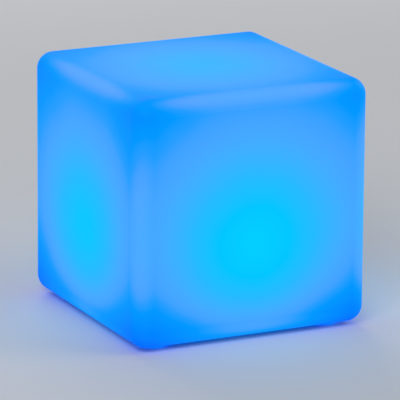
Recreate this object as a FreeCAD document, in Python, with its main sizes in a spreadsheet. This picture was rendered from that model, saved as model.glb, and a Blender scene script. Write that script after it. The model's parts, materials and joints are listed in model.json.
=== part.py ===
"""A garden cube light: a hollow translucent cube that stands on four moulded feet.

Its underside has a round well. A sealed module is screwed up into that well against a gasket,
and holds the battery, the control board, the push button, the charging jack with its rubber
cover, and a round board of LEDs under a frosted dome that lights the cube from inside.

Frame: origin on the ground below the middle of the cube, +Z up, -Y the wide face seen in front.
Lengths are in millimetres.
"""

import FreeCAD, Part
import math
import os
import re

import Sketcher

V = FreeCAD.Vector
TURN = 360.0
doc = FreeCAD.newDocument("cube_light")
sheet = doc.addObject("Spreadsheet::Sheet", "sizes")

# Each size that can be set by itself: its name, its value, and what it is.
SIZES = [
    ("cube_width", 400, "side of the cube, both ways"),
    ("cube_height", 400, "height over the feet"),
    ("edge_radius", 27, "outer rounding of every edge"),
    ("shell_wall", 4, "wall of the hollow cube"),
    ("foot_height", 6, "feet below the underside"),
    ("foot_flat_radius", 18, "flat of a foot"),
    ("foot_soft", 2.5, "rounding of a foot's lower edge"),
    ("foot_root_radius", 24, "root of a foot"),
    ("foot_inset", 52, "foot's middle from the side faces"),
    ("well_depth", 12, "depth of the well"),
    ("well_lip_radius", 3, "rounding of the well's lip"),
    ("well_gap", 5, "well's wall to the module's flange"),
    ("opening_gap", 4, "hole in the well's roof to the module's cup"),
    ("insert_radius", 3, "brass insert"),
    ("insert_length", 8, "brass insert"),
    ("insert_boss_radius", 6, "boss round an insert"),
    ("insert_boss_height", 6, "boss above the well's roof"),
    ("flange_edge", 8, "flange past the circle of its screws"),
    ("flange_thickness", 4, "module's flange"),
    ("screw_inset", 10, "circle of the flange screws past the opening"),
    ("gasket_thickness", 2, "gasket between flange and well"),
    ("gasket_inset", 2, "gasket's inside to the opening"),
    ("cup_radius", 68, "outside of the module's cup"),
    ("cup_wall", 2.5, "wall of the cup"),
    ("cup_height", 42, "cup above the flange"),
    ("m_four_radius", 2, "shank of the flange screws"),
    ("m_four_head_radius", 4, "head of the flange screws"),
    ("m_four_head_height", 2.6, "head of the flange screws"),
    ("m_four_length", 12, "flange screws under the head"),
    ("m_three_radius", 1.5, "shank of the small screws"),
    ("m_three_head_radius", 2.8, "head of the small screws"),
    ("m_three_head_height", 1.8, "head of the small screws"),
    ("m_three_length", 8, "small screws under the head"),
    ("cross_depth", 1.1, "driver recess in a screw head"),
    ("cross_width", 0.9, "driver recess in a screw head"),
    ("fit_gap", 0.05, "a screw in its thread, an insert in its seat"),
    ("hole_gap", 0.3, "a screw in a clearance hole"),
    ("seat_gap", 0.2, "a piece that drops into its seat"),
    ("control_inset", 40, "row of the controls from the cup's outside"),
    ("button_x", -20, "push button"),
    ("button_radius", 8, "push button"),
    ("button_proud", 0.5, "button below the flange"),
    ("button_gap", 0.35, "button in its guide"),
    ("button_travel", 1.5, "press of the button"),
    ("guide_wall", 3, "guide tube round the button"),
    ("guide_height", 6, "guide tube above the flange"),
    ("lip_overhang", 1.6, "lip that keeps the button in its guide"),
    ("lip_thickness", 1.5, "lip of the button"),
    ("stem_radius", 2.2, "stem on the button"),
    ("seal_wire", 0.75, "O-ring of the button, as a radius"),
    ("seal_groove_depth", 1.55, "groove for the O-ring"),
    ("seal_groove_width", 1.7, "groove for the O-ring"),
    ("plunger_radius", 1.7, "plunger of the switch"),
    ("plunger_reach", 2, "plunger below the switch"),
    ("plunger_hold", 1.5, "plunger inside the switch at rest"),
    ("plunger_gap", 0.2, "plunger in the switch"),
    ("switch_side", 12, "switch body"),
    ("switch_height", 4.2, "switch body"),
    ("lens_x", -3, "light pipe of the charging lamp"),
    ("lens_radius", 1.5, "light pipe of the charging lamp"),
    ("lens_proud", 0.2, "light pipe below the flange"),
    ("lens_collar_radius", 2.5, "collar of the light pipe"),
    ("lens_collar_height", 1, "collar of the light pipe"),
    ("lamp_side", 3, "charging lamp on the board"),
    ("lamp_height", 1.9, "charging lamp on the board"),
    ("lamp_gap", 0.3, "light pipe to lamp"),
    ("jack_x", 20, "charging jack"),
    ("jack_width", 10, "jack body along X"),
    ("jack_length", 14, "jack body along Y"),
    ("jack_nose_radius", 4.2, "jack's round nose"),
    ("jack_bore_radius", 2.85, "bore that takes the charging plug"),
    ("jack_bore_depth", 9.5, "bore that takes the charging plug"),
    ("jack_pin_radius", 1.05, "centre pin"),
    ("jack_pin_set_back", 2.8, "pin's tip from the mouth"),
    ("pocket_depth", 1.6, "pocket for the jack's cover"),
    ("cover_radius", 8.4, "rubber cover"),
    ("cover_proud", 0.6, "cover below the flange"),
    ("cover_side_gap", 0.6, "cover to the pocket's wall"),
    ("cover_roof_gap", 0.3, "cover to the pocket's roof"),
    ("cover_tab_length", 5, "finger tab past the cover"),
    ("scoop_radius", 4.5, "scoop for a fingertip under the tab"),
    ("spigot_radius", 2.3, "cover's plug in the jack"),
    ("spigot_length", 2.5, "cover's plug in the jack"),
    ("strap_width", 6, "rubber strap of the cover"),
    ("strap_thickness", 1.2, "ends of the strap"),
    ("strap_web", 0.8, "thin bending web of the strap"),
    ("strap_web_length", 4.5, "thin bending web of the strap"),
    ("hinge_offset", 13.75, "bending line from the jack's middle"),
    ("anchor_offset", 22, "strap's anchor from the jack's middle"),
    ("anchor_radius", 3.8, "strap's anchor pad"),
    ("anchor_pin_radius", 1.6, "strap's anchor pin"),
    ("anchor_barb_radius", 2.6, "barb that holds the pin"),
    ("anchor_barb_height", 1.5, "barb that holds the pin"),
    ("board_thickness", 1.6, "both circuit boards"),
    ("board_length", 72, "control board along X"),
    ("board_width", 40, "control board along Y"),
    ("board_post_height", 16.2, "control board above the flange"),
    ("board_post_radius", 3, "posts of the control board"),
    ("board_post_inset", 5, "post's middle from the long edges"),
    ("cell_radius", 9.2, "battery cell"),
    ("cell_length", 65, "battery cell"),
    ("cell_spacing", 19, "between the cells' axes"),
    ("battery_inset", 41.5, "middle of the battery from the cup's outside"),
    ("cradle_floor", 1.6, "cradle below the cells"),
    ("cradle_height", 9, "cradle's walls"),
    ("cradle_margin", 1.5, "cradle past the cells"),
    ("cell_gap", 0.15, "a cell in its cradle"),
    ("clamp_x", 16, "clamp band over the cells"),
    ("clamp_width", 10, "clamp band over the cells"),
    ("clamp_thickness", 1, "clamp band over the cells"),
    ("clamp_ear", 6.5, "ear of the clamp band"),
    ("clamp_screw_length", 6, "screws of the clamp band"),
    ("link_thickness", 0.3, "nickel strip across the cells"),
    ("link_width", 8, "nickel strip across the cells"),
    ("led_post_height", 36, "LED board above the flange"),
    ("led_post_radius", 4, "posts of the LED board"),
    ("led_post_inset", 4, "posts of the LED board from its edge"),
    ("led_board_gap", 8.5, "LED board to the cup's inside"),
    ("led_side", 5, "LED package"),
    ("led_height", 1.6, "LED package"),
    ("led_ring_inner", 20, "inner ring of LEDs, as a radius"),
    ("led_ring_inset", 15, "outer ring of LEDs from the board's edge"),
    ("dome_boss_radius", 4, "bosses for the dome's screws"),
    ("dome_boss_inset", 6, "bosses for the dome's screws from the cup's outside"),
    ("dome_seal_thickness", 1, "seal under the dome"),
    ("dome_flange", 3, "dome's flange"),
    ("dome_ledge", 10.5, "inside of the dome from the cup's outside"),
    ("dome_wall", 2, "wall of the dome"),
    ("dome_rise", 24, "inside of the dome above its flange"),
    ("receiver_side", 6, "remote control receiver"),
    ("receiver_height", 7, "remote control receiver"),
    ("chip_side", 10, "control chip"),
    ("chip_height", 1.8, "control chip"),
    ("chip_x", -4, "control chip"),
    ("coil_side", 8, "coils on the board"),
    ("coil_height", 4, "coils on the board"),
    ("coil_x", -14, "middle of the pair of coils"),
    ("coil_spacing", 12, "between the coils"),
    ("coil_offset", 10, "coils from the row of the controls"),
    ("capacitor_radius", 2.5, "capacitors on the board"),
    ("capacitor_height", 7, "capacitors on the board"),
    ("capacitor_spacing", 8, "between the capacitors"),
    ("capacitor_offset", 11, "capacitors from the row of the controls"),
    ("connector_length", 8, "wire connectors"),
    ("connector_width", 6, "wire connectors"),
    ("connector_height", 5.5, "wire connectors"),
    ("connector_x", 22, "wire connectors on the board"),
    ("connector_offset", 8, "wire connectors from the row of the controls"),
    ("led_connector_x", 10, "cable connector under the LED board"),
    ("route_step", 1, "one step in the routes of the wires"),
    ("lead_radius", 1.1, "one battery wire"),
    ("cable_radius", 1.9, "sheathed cable to the LED board"),
]

# Sizes that follow from others, each as a formula.
DERIVED = {
    "opening_radius": "cup_radius + opening_gap",
    "flange_screw_circle": "opening_radius + screw_inset",
    "flange_radius": "flange_screw_circle + flange_edge",
    "well_radius": "flange_radius + well_gap",
    "gasket_inner_radius": "opening_radius + gasket_inset",
    "control_y": "control_inset - cup_radius",
    "battery_y": "cup_radius - battery_inset",
    "led_board_radius": "cup_radius - cup_wall - led_board_gap",
    "led_post_circle": "led_board_radius - led_post_inset",
    "led_ring_outer": "led_board_radius - led_ring_inset",
    "dome_boss_circle": "cup_radius - dome_boss_inset",
    "dome_radius": "cup_radius - dome_ledge",
}

FLANGE_SCREWS = 6
QUARTERS = 4
INNER_LEDS = 6
OUTER_LEDS = 12

for row, (alias, value, meaning) in enumerate(SIZES, start=1):
    sheet.set(f"A{row}", alias)
    sheet.set(f"B{row}", str(value))
    sheet.set(f"C{row}", meaning)
    sheet.setAlias(f"B{row}", alias)
doc.recompute()
NAMES = {alias for alias, _, _ in SIZES}

# Levels and places that follow from the sizes, as formulas.
WELL_ROOF = "(foot_height + well_depth)"
FLANGE_TOP = f"({WELL_ROOF} - gasket_thickness)"
FLANGE_BOTTOM = f"({FLANGE_TOP} - flange_thickness)"
CUP_RIM = f"({FLANGE_TOP} + cup_height)"
POCKET_ROOF = f"({FLANGE_BOTTOM} + pocket_depth)"
GUIDE_TOP = f"({FLANGE_TOP} + guide_height)"
BOARD_BOTTOM = f"({FLANGE_TOP} + board_post_height)"
BOARD_TOP = f"({BOARD_BOTTOM} + board_thickness)"
SWITCH_BOTTOM = f"({BOARD_BOTTOM} - switch_height)"
LED_BOARD_BOTTOM = f"({FLANGE_TOP} + led_post_height)"
LED_BOARD_TOP = f"({LED_BOARD_BOTTOM} + board_thickness)"
DOME_FOOT = f"({CUP_RIM} + dome_seal_thickness)"
DOME_FLANGE_TOP = f"({DOME_FOOT} + dome_flange)"
CELL_AXIS = f"({FLANGE_TOP} + cradle_floor + cell_radius)"
HINGE_X = "(jack_x + hinge_offset)"
ANCHOR_X = "(jack_x + anchor_offset)"
STRAP_MIDDLE = f"({FLANGE_BOTTOM} + strap_web / 2)"
LINK_X = "(cell_length / 2 + link_thickness)"

SPARE_CELL = "E1"
nodes = []


def spelled_out(formula):
    """The formula with each derived size replaced by its own formula."""
    return re.sub(
        r"[a-z_]+", lambda m: f"({spelled_out(DERIVED[m[0]])})" if m[0] in DERIVED else m[0], formula
    )


def in_sheet(formula):
    """The formula with each size's name read from the sheet."""
    return re.sub(
        r"[a-z_]+", lambda m: "sizes." + m[0] if m[0] in NAMES else m[0], spelled_out(formula)
    )


def number(formula):
    """The formula's value now, in millimetres, worked out in a spare cell of the sheet."""
    sheet.set(SPARE_CELL, "=" + spelled_out(formula))
    sheet.recompute()
    return float(sheet.get(SPARE_CELL))


def bind(piece, **formulas):
    """Ties each property of the piece to its formula."""
    for name, formula in formulas.items():
        piece.setExpression(name, in_sheet(formula))


def place(piece, x="0", y="0", z="0"):
    """Ties the place of the piece to formulas."""
    for axis, formula in zip("xyz", (x, y, z)):
        piece.setExpression(f"Placement.Base.{axis}", in_sheet(formula))


def cylinder(name, radius, height, x="0", y="0", z="0"):
    piece = doc.addObject("Part::Cylinder", name)
    bind(piece, Radius=radius, Height=height)
    place(piece, x, y, z)
    return piece


def cylinder_along_x(name, radius, length, y, z):
    """A cylinder along X, centred on X = 0."""
    piece = doc.addObject("Part::Cylinder", name)
    bind(piece, Radius=radius, Height=length)
    piece.Placement = FreeCAD.Placement(V(0, 0, 0), FreeCAD.Rotation(V(0, 1, 0), 90))
    place(piece, f"-({length}) / 2", y, z)
    return piece


def block(name, length, width, height, x="0", y="0", z="0"):
    """A box centred on x and y that stands on z."""
    piece = doc.addObject("Part::Box", name)
    bind(piece, Length=length, Width=width, Height=height)
    place(piece, f"{x} - ({length}) / 2", f"{y} - ({width}) / 2", z)
    return piece


def fuse(name, pieces):
    joined = doc.addObject("Part::MultiFuse", name)
    joined.Shapes = pieces
    joined.Refine = True
    return joined


def cut(name, base, tools):
    """The base without the tools."""
    tool = tools[0] if len(tools) == 1 else fuse(name + "_tools", tools)
    left = doc.addObject("Part::Cut", name)
    left.Base = base
    left.Tool = tool
    return left


def group(name, pieces):
    """Separate solids that share one node."""
    together = doc.addObject("Part::Compound", name)
    together.Links = pieces
    return together


def node(piece, label):
    """Marks the piece as a sub-part under its own name."""
    piece.Label = label
    nodes.append(piece)
    return piece


def around(count, circle, first_angle=0.0):
    """Formulas of the places spread evenly on a circle."""
    for step in range(count):
        angle = first_angle + TURN * step / count
        yield step, f"{circle} * cos({angle})", f"{circle} * sin({angle})"


def origin_plane(body, role):
    return next(f for f in body.Origin.OriginFeatures if f.Role == role)


def sketch_in(body, name, role, level="0"):
    """An empty sketch on a plane of the body, moved along its normal to the level."""
    sketch = body.newObject("Sketcher::SketchObject", name)
    sketch.AttachmentSupport = [(origin_plane(body, role), "")]
    sketch.MapMode = "FlatFace"
    sketch.setExpression("AttachmentOffset.Base.z", in_sheet(level))
    return sketch


def tie(sketch, kind, *spot, formula):
    """One dimension of a sketch, held to its formula."""
    index = sketch.addConstraint(Sketcher.Constraint(kind, *spot, number(formula)))
    sketch.renameConstraint(index, f"size_{index}")
    sketch.setExpression(f"Constraints.size_{index}", in_sheet(formula))


def polygon(sketch, corners):
    """A closed outline whose corners are pairs of formulas."""
    points = [V(number(x), number(y), 0) for x, y in corners]
    count = len(points)
    for i, point in enumerate(points):
        sketch.addGeometry(Part.LineSegment(point, points[(i + 1) % count]))
    for i in range(count):
        sketch.addConstraint(Sketcher.Constraint("Coincident", i, 2, (i + 1) % count, 1))
    for i, (x, y) in enumerate(corners):
        tie(sketch, "DistanceX", -1, 1, i, 1, formula=x)
        tie(sketch, "DistanceY", -1, 1, i, 1, formula=y)


def square_pad(name, side, height, level, radius):
    """A rounded block: a square pad with every edge filleted."""
    body = doc.addObject("PartDesign::Body", name)
    sketch = sketch_in(body, name + "_outline", "XY_Plane", level)
    half = f"({side}) / 2"
    polygon(sketch, [(f"-{half}", f"-{half}"), (half, f"-{half}"), (half, half), (f"-{half}", half)])
    pad = body.newObject("PartDesign::Pad", name + "_pad")
    pad.Profile = sketch
    bind(pad, Length=height)
    doc.recompute()
    rounding = body.newObject("PartDesign::Fillet", name + "_rounding")
    rounding.Base = (pad, [f"Edge{i + 1}" for i in range(len(pad.Shape.Edges))])
    bind(rounding, Radius=radius)
    body.Tip = rounding
    doc.recompute()
    return body


def turned(name, corners):
    """A body turned about Z from an outline of (radius, height) formulas."""
    body = doc.addObject("PartDesign::Body", name)
    sketch = sketch_in(body, name + "_outline", "XZ_Plane")
    polygon(sketch, corners)
    spin = body.newObject("PartDesign::Revolution", name + "_turn")
    spin.Profile = sketch
    spin.ReferenceAxis = (sketch, ["V_Axis"])
    spin.Angle = TURN
    body.Tip = spin
    doc.recompute()
    return body


def screw(name, x, y, seat, size, length, head_down):
    """A pan-head screw with a cross recess. Its head bears on the seat."""
    radius, head_radius, head_height = f"{size}_radius", f"{size}_head_radius", f"{size}_head_height"
    if head_down:
        head_z = f"{seat} - {head_height}"
        shank_z = seat
        cross_z = head_z
    else:
        head_z = seat
        shank_z = f"{seat} - {length}"
        cross_z = f"{seat} + {head_height} - cross_depth"
    solid = fuse(
        name + "_blank",
        [
            cylinder(name + "_head", head_radius, head_height, x, y, head_z),
            cylinder(name + "_shank", radius, length, x, y, shank_z),
        ],
    )
    slots = [
        block(name + "_slot_a", head_radius, "cross_width", "cross_depth", x, y, cross_z),
        block(name + "_slot_b", "cross_width", head_radius, "cross_depth", x, y, cross_z),
    ]
    return cut(name, solid, slots)


def screw_row(label, spots, seat, size, length, head_down=False):
    """One node that holds a screw at each spot."""
    made = [screw(f"{label}_{i}", x, y, seat, size, length, head_down) for i, x, y in spots]
    return node(group(label, made), label)


# --- the cube's shell ---------------------------------------------------------------------


def foot(name, x, y):
    """A round foot: a flat, a soft lower edge, and a side that widens up to the underside."""
    flat = cylinder(name + "_flat", "foot_flat_radius", "foot_height", x, y)
    edge = doc.addObject("Part::Torus", name + "_edge")
    bind(edge, Radius1="foot_flat_radius", Radius2="foot_soft")
    place(edge, x, y, "foot_soft")
    side = doc.addObject("Part::Cone", name + "_side")
    bind(
        side,
        Radius1="foot_flat_radius + foot_soft",
        Radius2="foot_root_radius",
        Height="foot_height - foot_soft",
    )
    place(side, x, y, "foot_soft")
    return [flat, edge, side]


def shell():
    outside = square_pad(
        "shell_outside", "cube_width", "cube_height - foot_height", "foot_height", "edge_radius"
    )
    well = turned(
        "shell_well",
        [
            ("0", "foot_height"),
            ("well_radius + well_lip_radius", "foot_height"),
            ("well_radius", "foot_height + well_lip_radius"),
            ("well_radius", WELL_ROOF),
            ("0", WELL_ROOF),
        ],
    )
    inside = square_pad(
        "shell_inside",
        "cube_width - 2 * shell_wall",
        "cube_height - foot_height - 2 * shell_wall",
        "foot_height + shell_wall",
        "edge_radius - shell_wall",
    )
    well_wall = cylinder(
        "well_wall",
        "well_radius + shell_wall",
        f"{WELL_ROOF} + shell_wall - foot_height",
        z="foot_height",
    )
    bosses = [
        cylinder(f"insert_boss_{i}", "insert_boss_radius", "shell_wall + insert_boss_height", x, y, WELL_ROOF)
        for i, x, y in around(FLANGE_SCREWS, "flange_screw_circle")
    ]
    seats = [
        cylinder(f"insert_seat_{i}", "insert_radius + fit_gap", "insert_length", x, y, WELL_ROOF)
        for i, x, y in around(FLANGE_SCREWS, "flange_screw_circle")
    ]
    half = "(cube_width / 2 - foot_inset)"
    feet = []
    for i, (side_x, side_y) in enumerate([("-", "-"), ("", "-"), ("", ""), ("-", "")]):
        feet += foot(f"foot_{i}", side_x + half, side_y + half)
    opening = cylinder("module_opening", "opening_radius", "shell_wall", z=WELL_ROOF)
    cavity = cut("shell_cavity", inside, [well_wall, *bosses])
    walls = cut("shell_walls", outside, [cavity, well, opening, *seats])
    return node(fuse("cube_shell", [walls, *feet]), "cube_shell")


def threaded_inserts():
    """Brass inserts moulded into the well's roof, open at the bottom for the screws."""
    made = []
    for i, x, y in around(FLANGE_SCREWS, "flange_screw_circle"):
        barrel = cylinder(f"insert_barrel_{i}", "insert_radius", "insert_length", x, y, WELL_ROOF)
        thread = cylinder(
            f"insert_thread_{i}", "m_four_radius + fit_gap", "insert_length", x, y, WELL_ROOF
        )
        made.append(cut(f"insert_{i}", barrel, [thread]))
    return node(group("threaded_inserts", made), "threaded_inserts")


# --- the module's housing -----------------------------------------------------------------


def flange_gasket():
    ring = cylinder("gasket_disc", "flange_radius", "gasket_thickness", z=FLANGE_TOP)
    middle = cylinder("gasket_middle", "gasket_inner_radius", "gasket_thickness", z=FLANGE_TOP)
    holes = [
        cylinder(f"gasket_hole_{i}", "m_four_radius + hole_gap", "gasket_thickness", x, y, FLANGE_TOP)
        for i, x, y in around(FLANGE_SCREWS, "flange_screw_circle")
    ]
    return node(cut("flange_gasket", ring, [middle, *holes]), "flange_gasket")


def board_post_spots():
    """The control board's four posts."""
    half_x = "(board_length / 2 - board_post_inset)"
    half_y = "(board_width / 2 - board_post_inset)"
    signs = [("-", "-"), ("", "-"), ("", "+"), ("-", "+")]
    return [
        (i, f"{sign_x}{half_x}", f"control_y {sign_y if sign_y == '-' else '+'} {half_y}")
        for i, (sign_x, sign_y) in enumerate(signs)
    ]


def led_post_spots():
    return list(around(QUARTERS, "led_post_circle"))


def dome_screw_spots():
    return list(around(QUARTERS, "dome_boss_circle", first_angle=22.5))


def module_base():
    """The flange, the cup above it, and the posts, guide and pocket that are moulded with them."""
    flange = cylinder("flange_disc", "flange_radius", "flange_thickness", z=FLANGE_BOTTOM)
    cup = cut(
        "cup",
        cylinder("cup_outside", "cup_radius", "cup_height", z=FLANGE_TOP),
        [cylinder("cup_inside", "cup_radius - cup_wall", "cup_height", z=FLANGE_TOP)],
    )
    guide = cylinder(
        "button_guide", "button_radius + guide_wall", "guide_height", "button_x", "control_y", FLANGE_TOP
    )
    posts = [
        cylinder(f"board_post_{i}", "board_post_radius", "board_post_height", x, y, FLANGE_TOP)
        for i, x, y in board_post_spots()
    ]
    posts += [
        cylinder(f"led_post_{i}", "led_post_radius", "led_post_height", x, y, FLANGE_TOP)
        for i, x, y in led_post_spots()
    ]
    posts += [
        cylinder(f"dome_boss_{i}", "dome_boss_radius", "cup_height", x, y, FLANGE_TOP)
        for i, x, y in dome_screw_spots()
    ]
    thread = "m_three_radius + fit_gap"
    screw_depth = "m_three_length"
    dome_grip = "(m_three_length - dome_seal_thickness - dome_flange)"
    led_grip = f"({screw_depth} - board_thickness)"
    holes = [
        cylinder(f"board_thread_{i}", thread, led_grip, x, y, f"{BOARD_BOTTOM} - {led_grip}")
        for i, x, y in board_post_spots()
    ]
    holes += [
        cylinder(f"led_thread_{i}", thread, led_grip, x, y, f"{LED_BOARD_BOTTOM} - {led_grip}")
        for i, x, y in led_post_spots()
    ]
    holes += [
        cylinder(f"dome_thread_{i}", thread, dome_grip, x, y, f"{CUP_RIM} - {dome_grip}")
        for i, x, y in dome_screw_spots()
    ]
    holes += [
        cylinder(f"flange_hole_{i}", "m_four_radius + hole_gap", "flange_thickness", x, y, FLANGE_BOTTOM)
        for i, x, y in around(FLANGE_SCREWS, "flange_screw_circle")
    ]
    through = "flange_thickness + guide_height"
    control_holes = [
        ("button_bore", "button_radius + button_gap", through, "button_x"),
        ("lens_hole", "lens_radius + seat_gap", "flange_thickness", "lens_x"),
        ("jack_hole", "jack_nose_radius + seat_gap", "flange_thickness", "jack_x"),
        ("anchor_hole", "anchor_pin_radius + fit_gap", "flange_thickness", ANCHOR_X),
    ]
    holes += [
        cylinder(name, radius, depth, x, "control_y", FLANGE_BOTTOM)
        for name, radius, depth, x in control_holes
    ]
    holes += cover_pocket()
    return node(cut("module_base", fuse("module_blank", [flange, cup, guide, *posts]), holes), "module_base")


def cover_pocket():
    """The keyhole-shaped pocket that the rubber cover, its tab and its strap lie in."""
    round_part = cylinder(
        "pocket_round", "cover_radius + cover_side_gap", "pocket_depth", "jack_x", "control_y", FLANGE_BOTTOM
    )
    reach = "(cover_radius + cover_tab_length + cover_side_gap + anchor_offset)"
    slot = block(
        "pocket_slot",
        reach,
        "strap_width + 2 * cover_side_gap",
        "pocket_depth",
        f"jack_x + anchor_offset - {reach} / 2",
        "control_y",
        FLANGE_BOTTOM,
    )
    end = cylinder(
        "pocket_end", "anchor_radius + seat_gap", "pocket_depth", ANCHOR_X, "control_y", FLANGE_BOTTOM
    )
    scoop = cylinder(
        "pocket_scoop",
        "scoop_radius",
        "pocket_depth",
        "jack_x - cover_radius - cover_tab_length",
        "control_y",
        FLANGE_BOTTOM,
    )
    return [round_part, slot, end, scoop]


# --- the push button ------------------------------------------------------------------------


def power_button():
    """The cap, its lip above the guide, and the stem that pushes the switch."""
    cap_bottom = f"({FLANGE_BOTTOM} - button_proud)"
    groove_bottom = f"({FLANGE_TOP} - seal_groove_width / 2)"
    cap = cylinder(
        "button_cap", "button_radius", f"{GUIDE_TOP} - {cap_bottom}", "button_x", "control_y", cap_bottom
    )
    lip = cylinder(
        "button_lip", "button_radius + lip_overhang", "lip_thickness", "button_x", "control_y", GUIDE_TOP
    )
    stem_bottom = f"({GUIDE_TOP} + lip_thickness)"
    stem_top = f"({SWITCH_BOTTOM} - plunger_reach)"
    stem = cylinder(
        "button_stem", "stem_radius", f"{stem_top} - {stem_bottom}", "button_x", "control_y", stem_bottom
    )
    rings = [
        cylinder(name, radius, "seal_groove_width", "button_x", "control_y", groove_bottom)
        for name, radius in (
            ("groove_outer", "button_radius"),
            ("groove_inner", "button_radius - seal_groove_depth"),
        )
    ]
    groove = cut("button_groove", rings[0], rings[1:])
    return node(cut("power_button", fuse("button_blank", [cap, lip, stem]), [groove]), "power_button")


def button_seal():
    """The O-ring in the button's groove."""
    ring = doc.addObject("Part::Torus", "button_seal")
    bind(ring, Radius1="button_radius - seal_wire + fit_gap", Radius2="seal_wire")
    place(ring, "button_x", "control_y", FLANGE_TOP)
    return node(ring, "button_seal")


def switch_plunger():
    return node(
        cylinder(
            "switch_plunger",
            "plunger_radius",
            "plunger_reach + plunger_hold",
            "button_x",
            "control_y",
            f"{SWITCH_BOTTOM} - plunger_reach",
        ),
        "switch_plunger",
    )


def push_switch():
    """The switch body under the board, with the bore that its plunger runs in."""
    case = block(
        "switch_case", "switch_side", "switch_side", "switch_height", "button_x", "control_y", SWITCH_BOTTOM
    )
    bore = cylinder(
        "switch_bore",
        "plunger_radius + plunger_gap",
        "plunger_hold + button_travel + plunger_gap",
        "button_x",
        "control_y",
        SWITCH_BOTTOM,
    )
    return node(cut("push_switch", case, [bore]), "push_switch")


# --- the charging jack and its cover ----------------------------------------------------------


def charge_jack():
    """The jack: a nose that fills its hole in the flange, a body up to the board, and the bore."""
    nose = cylinder(
        "jack_nose",
        "jack_nose_radius",
        "flange_thickness - pocket_depth",
        "jack_x",
        "control_y",
        POCKET_ROOF,
    )
    case = block(
        "jack_case", "jack_width", "jack_length", "board_post_height", "jack_x", "control_y", FLANGE_TOP
    )
    bore = cylinder(
        "jack_bore", "jack_bore_radius", "jack_bore_depth", "jack_x", "control_y", POCKET_ROOF
    )
    return node(cut("charge_jack", fuse("jack_blank", [nose, case]), [bore]), "charge_jack")


def jack_pin():
    return node(
        cylinder(
            "jack_pin",
            "jack_pin_radius",
            "jack_bore_depth - jack_pin_set_back",
            "jack_x",
            "control_y",
            f"{POCKET_ROOF} + jack_pin_set_back",
        ),
        "jack_pin",
    )


def jack_cover():
    """The moving end of the rubber cover: disc, finger tab, neck and the spigot in the jack."""
    bottom = f"({FLANGE_BOTTOM} - cover_proud)"
    top = f"({POCKET_ROOF} - cover_roof_gap)"
    disc = cylinder("cover_disc", "cover_radius", f"{top} - {bottom}", "jack_x", "control_y", bottom)
    spigot = cylinder("cover_spigot", "spigot_radius", "spigot_length", "jack_x", "control_y", top)
    strap_bottom = f"({STRAP_MIDDLE} - strap_thickness / 2)"
    neck_length = "(hinge_offset - strap_web_length / 2)"
    neck = block(
        "cover_neck",
        neck_length,
        "strap_width",
        "strap_thickness",
        f"jack_x + {neck_length} / 2",
        "control_y",
        strap_bottom,
    )
    tab_length = "(cover_radius + cover_tab_length)"
    tab = block(
        "cover_tab",
        tab_length,
        "strap_width",
        "strap_thickness",
        f"jack_x - {tab_length} / 2",
        "control_y",
        strap_bottom,
    )
    return node(fuse("jack_cover", [disc, spigot, neck, tab]), "jack_cover")


def cover_web():
    """The thin stretch of the strap that bends."""
    return node(
        block(
            "cover_web",
            "strap_web_length",
            "strap_width",
            "strap_web",
            HINGE_X,
            "control_y",
            f"{STRAP_MIDDLE} - strap_web / 2",
        ),
        "cover_web",
    )


def cover_anchor():
    """The fixed end of the strap: a pad in the pocket and a barbed pin through the flange."""
    bottom = f"({STRAP_MIDDLE} - strap_thickness / 2)"
    thickness = f"({POCKET_ROOF} - {bottom})"
    pad = cylinder("anchor_pad", "anchor_radius", thickness, ANCHOR_X, "control_y", bottom)
    neck_length = "(anchor_offset - hinge_offset - strap_web_length / 2)"
    neck = block(
        "anchor_neck",
        neck_length,
        "strap_width",
        thickness,
        f"{ANCHOR_X} - {neck_length} / 2",
        "control_y",
        bottom,
    )
    pin = cylinder(
        "anchor_pin",
        "anchor_pin_radius",
        "flange_thickness - pocket_depth",
        ANCHOR_X,
        "control_y",
        POCKET_ROOF,
    )
    barb = cylinder(
        "anchor_barb", "anchor_barb_radius", "anchor_barb_height", ANCHOR_X, "control_y", FLANGE_TOP
    )
    return node(fuse("cover_anchor", [pad, neck, pin, barb]), "cover_anchor")


# --- the charging lamp ------------------------------------------------------------------------


def lamp_lens():
    """The light pipe from the charging lamp to the underside."""
    bottom = f"({FLANGE_BOTTOM} - lens_proud)"
    top = f"({BOARD_BOTTOM} - lamp_height - lamp_gap)"
    rod = cylinder("lens_rod", "lens_radius", f"{top} - {bottom}", "lens_x", "control_y", bottom)
    collar = cylinder(
        "lens_collar", "lens_collar_radius", "lens_collar_height", "lens_x", "control_y", FLANGE_TOP
    )
    return node(fuse("lamp_lens", [rod, collar]), "lamp_lens")


def charge_lamp():
    return node(
        block(
            "charge_lamp",
            "lamp_side",
            "lamp_side",
            "lamp_height",
            "lens_x",
            "control_y",
            f"{BOARD_BOTTOM} - lamp_height",
        ),
        "charge_lamp",
    )


# --- the control board --------------------------------------------------------------------------


def control_board():
    board = block(
        "control_board_blank",
        "board_length",
        "board_width",
        "board_thickness",
        "0",
        "control_y",
        BOARD_BOTTOM,
    )
    holes = [
        cylinder(f"board_hole_{i}", "m_three_radius + hole_gap", "board_thickness", x, y, BOARD_BOTTOM)
        for i, x, y in board_post_spots()
    ]
    return node(cut("control_board", board, holes), "control_board")


def board_parts():
    """What is soldered on top of the control board: the chip, two coils and three capacitors."""
    chip = block("control_chip", "chip_side", "chip_side", "chip_height", "chip_x", "control_y", BOARD_TOP)
    coils = [
        block(
            f"coil_{i}",
            "coil_side",
            "coil_side",
            "coil_height",
            f"coil_x + {step} * coil_spacing",
            "control_y + coil_offset",
            BOARD_TOP,
        )
        for i, step in enumerate((-0.5, 0.5))
    ]
    capacitors = [
        cylinder(
            f"capacitor_{i}",
            "capacitor_radius",
            "capacitor_height",
            f"coil_x + {step} * capacitor_spacing",
            "control_y - capacitor_offset",
            BOARD_TOP,
        )
        for i, step in enumerate((-1, 0, 1))
    ]
    return node(group("board_parts", [chip, *coils, *capacitors]), "board_parts")


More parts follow.
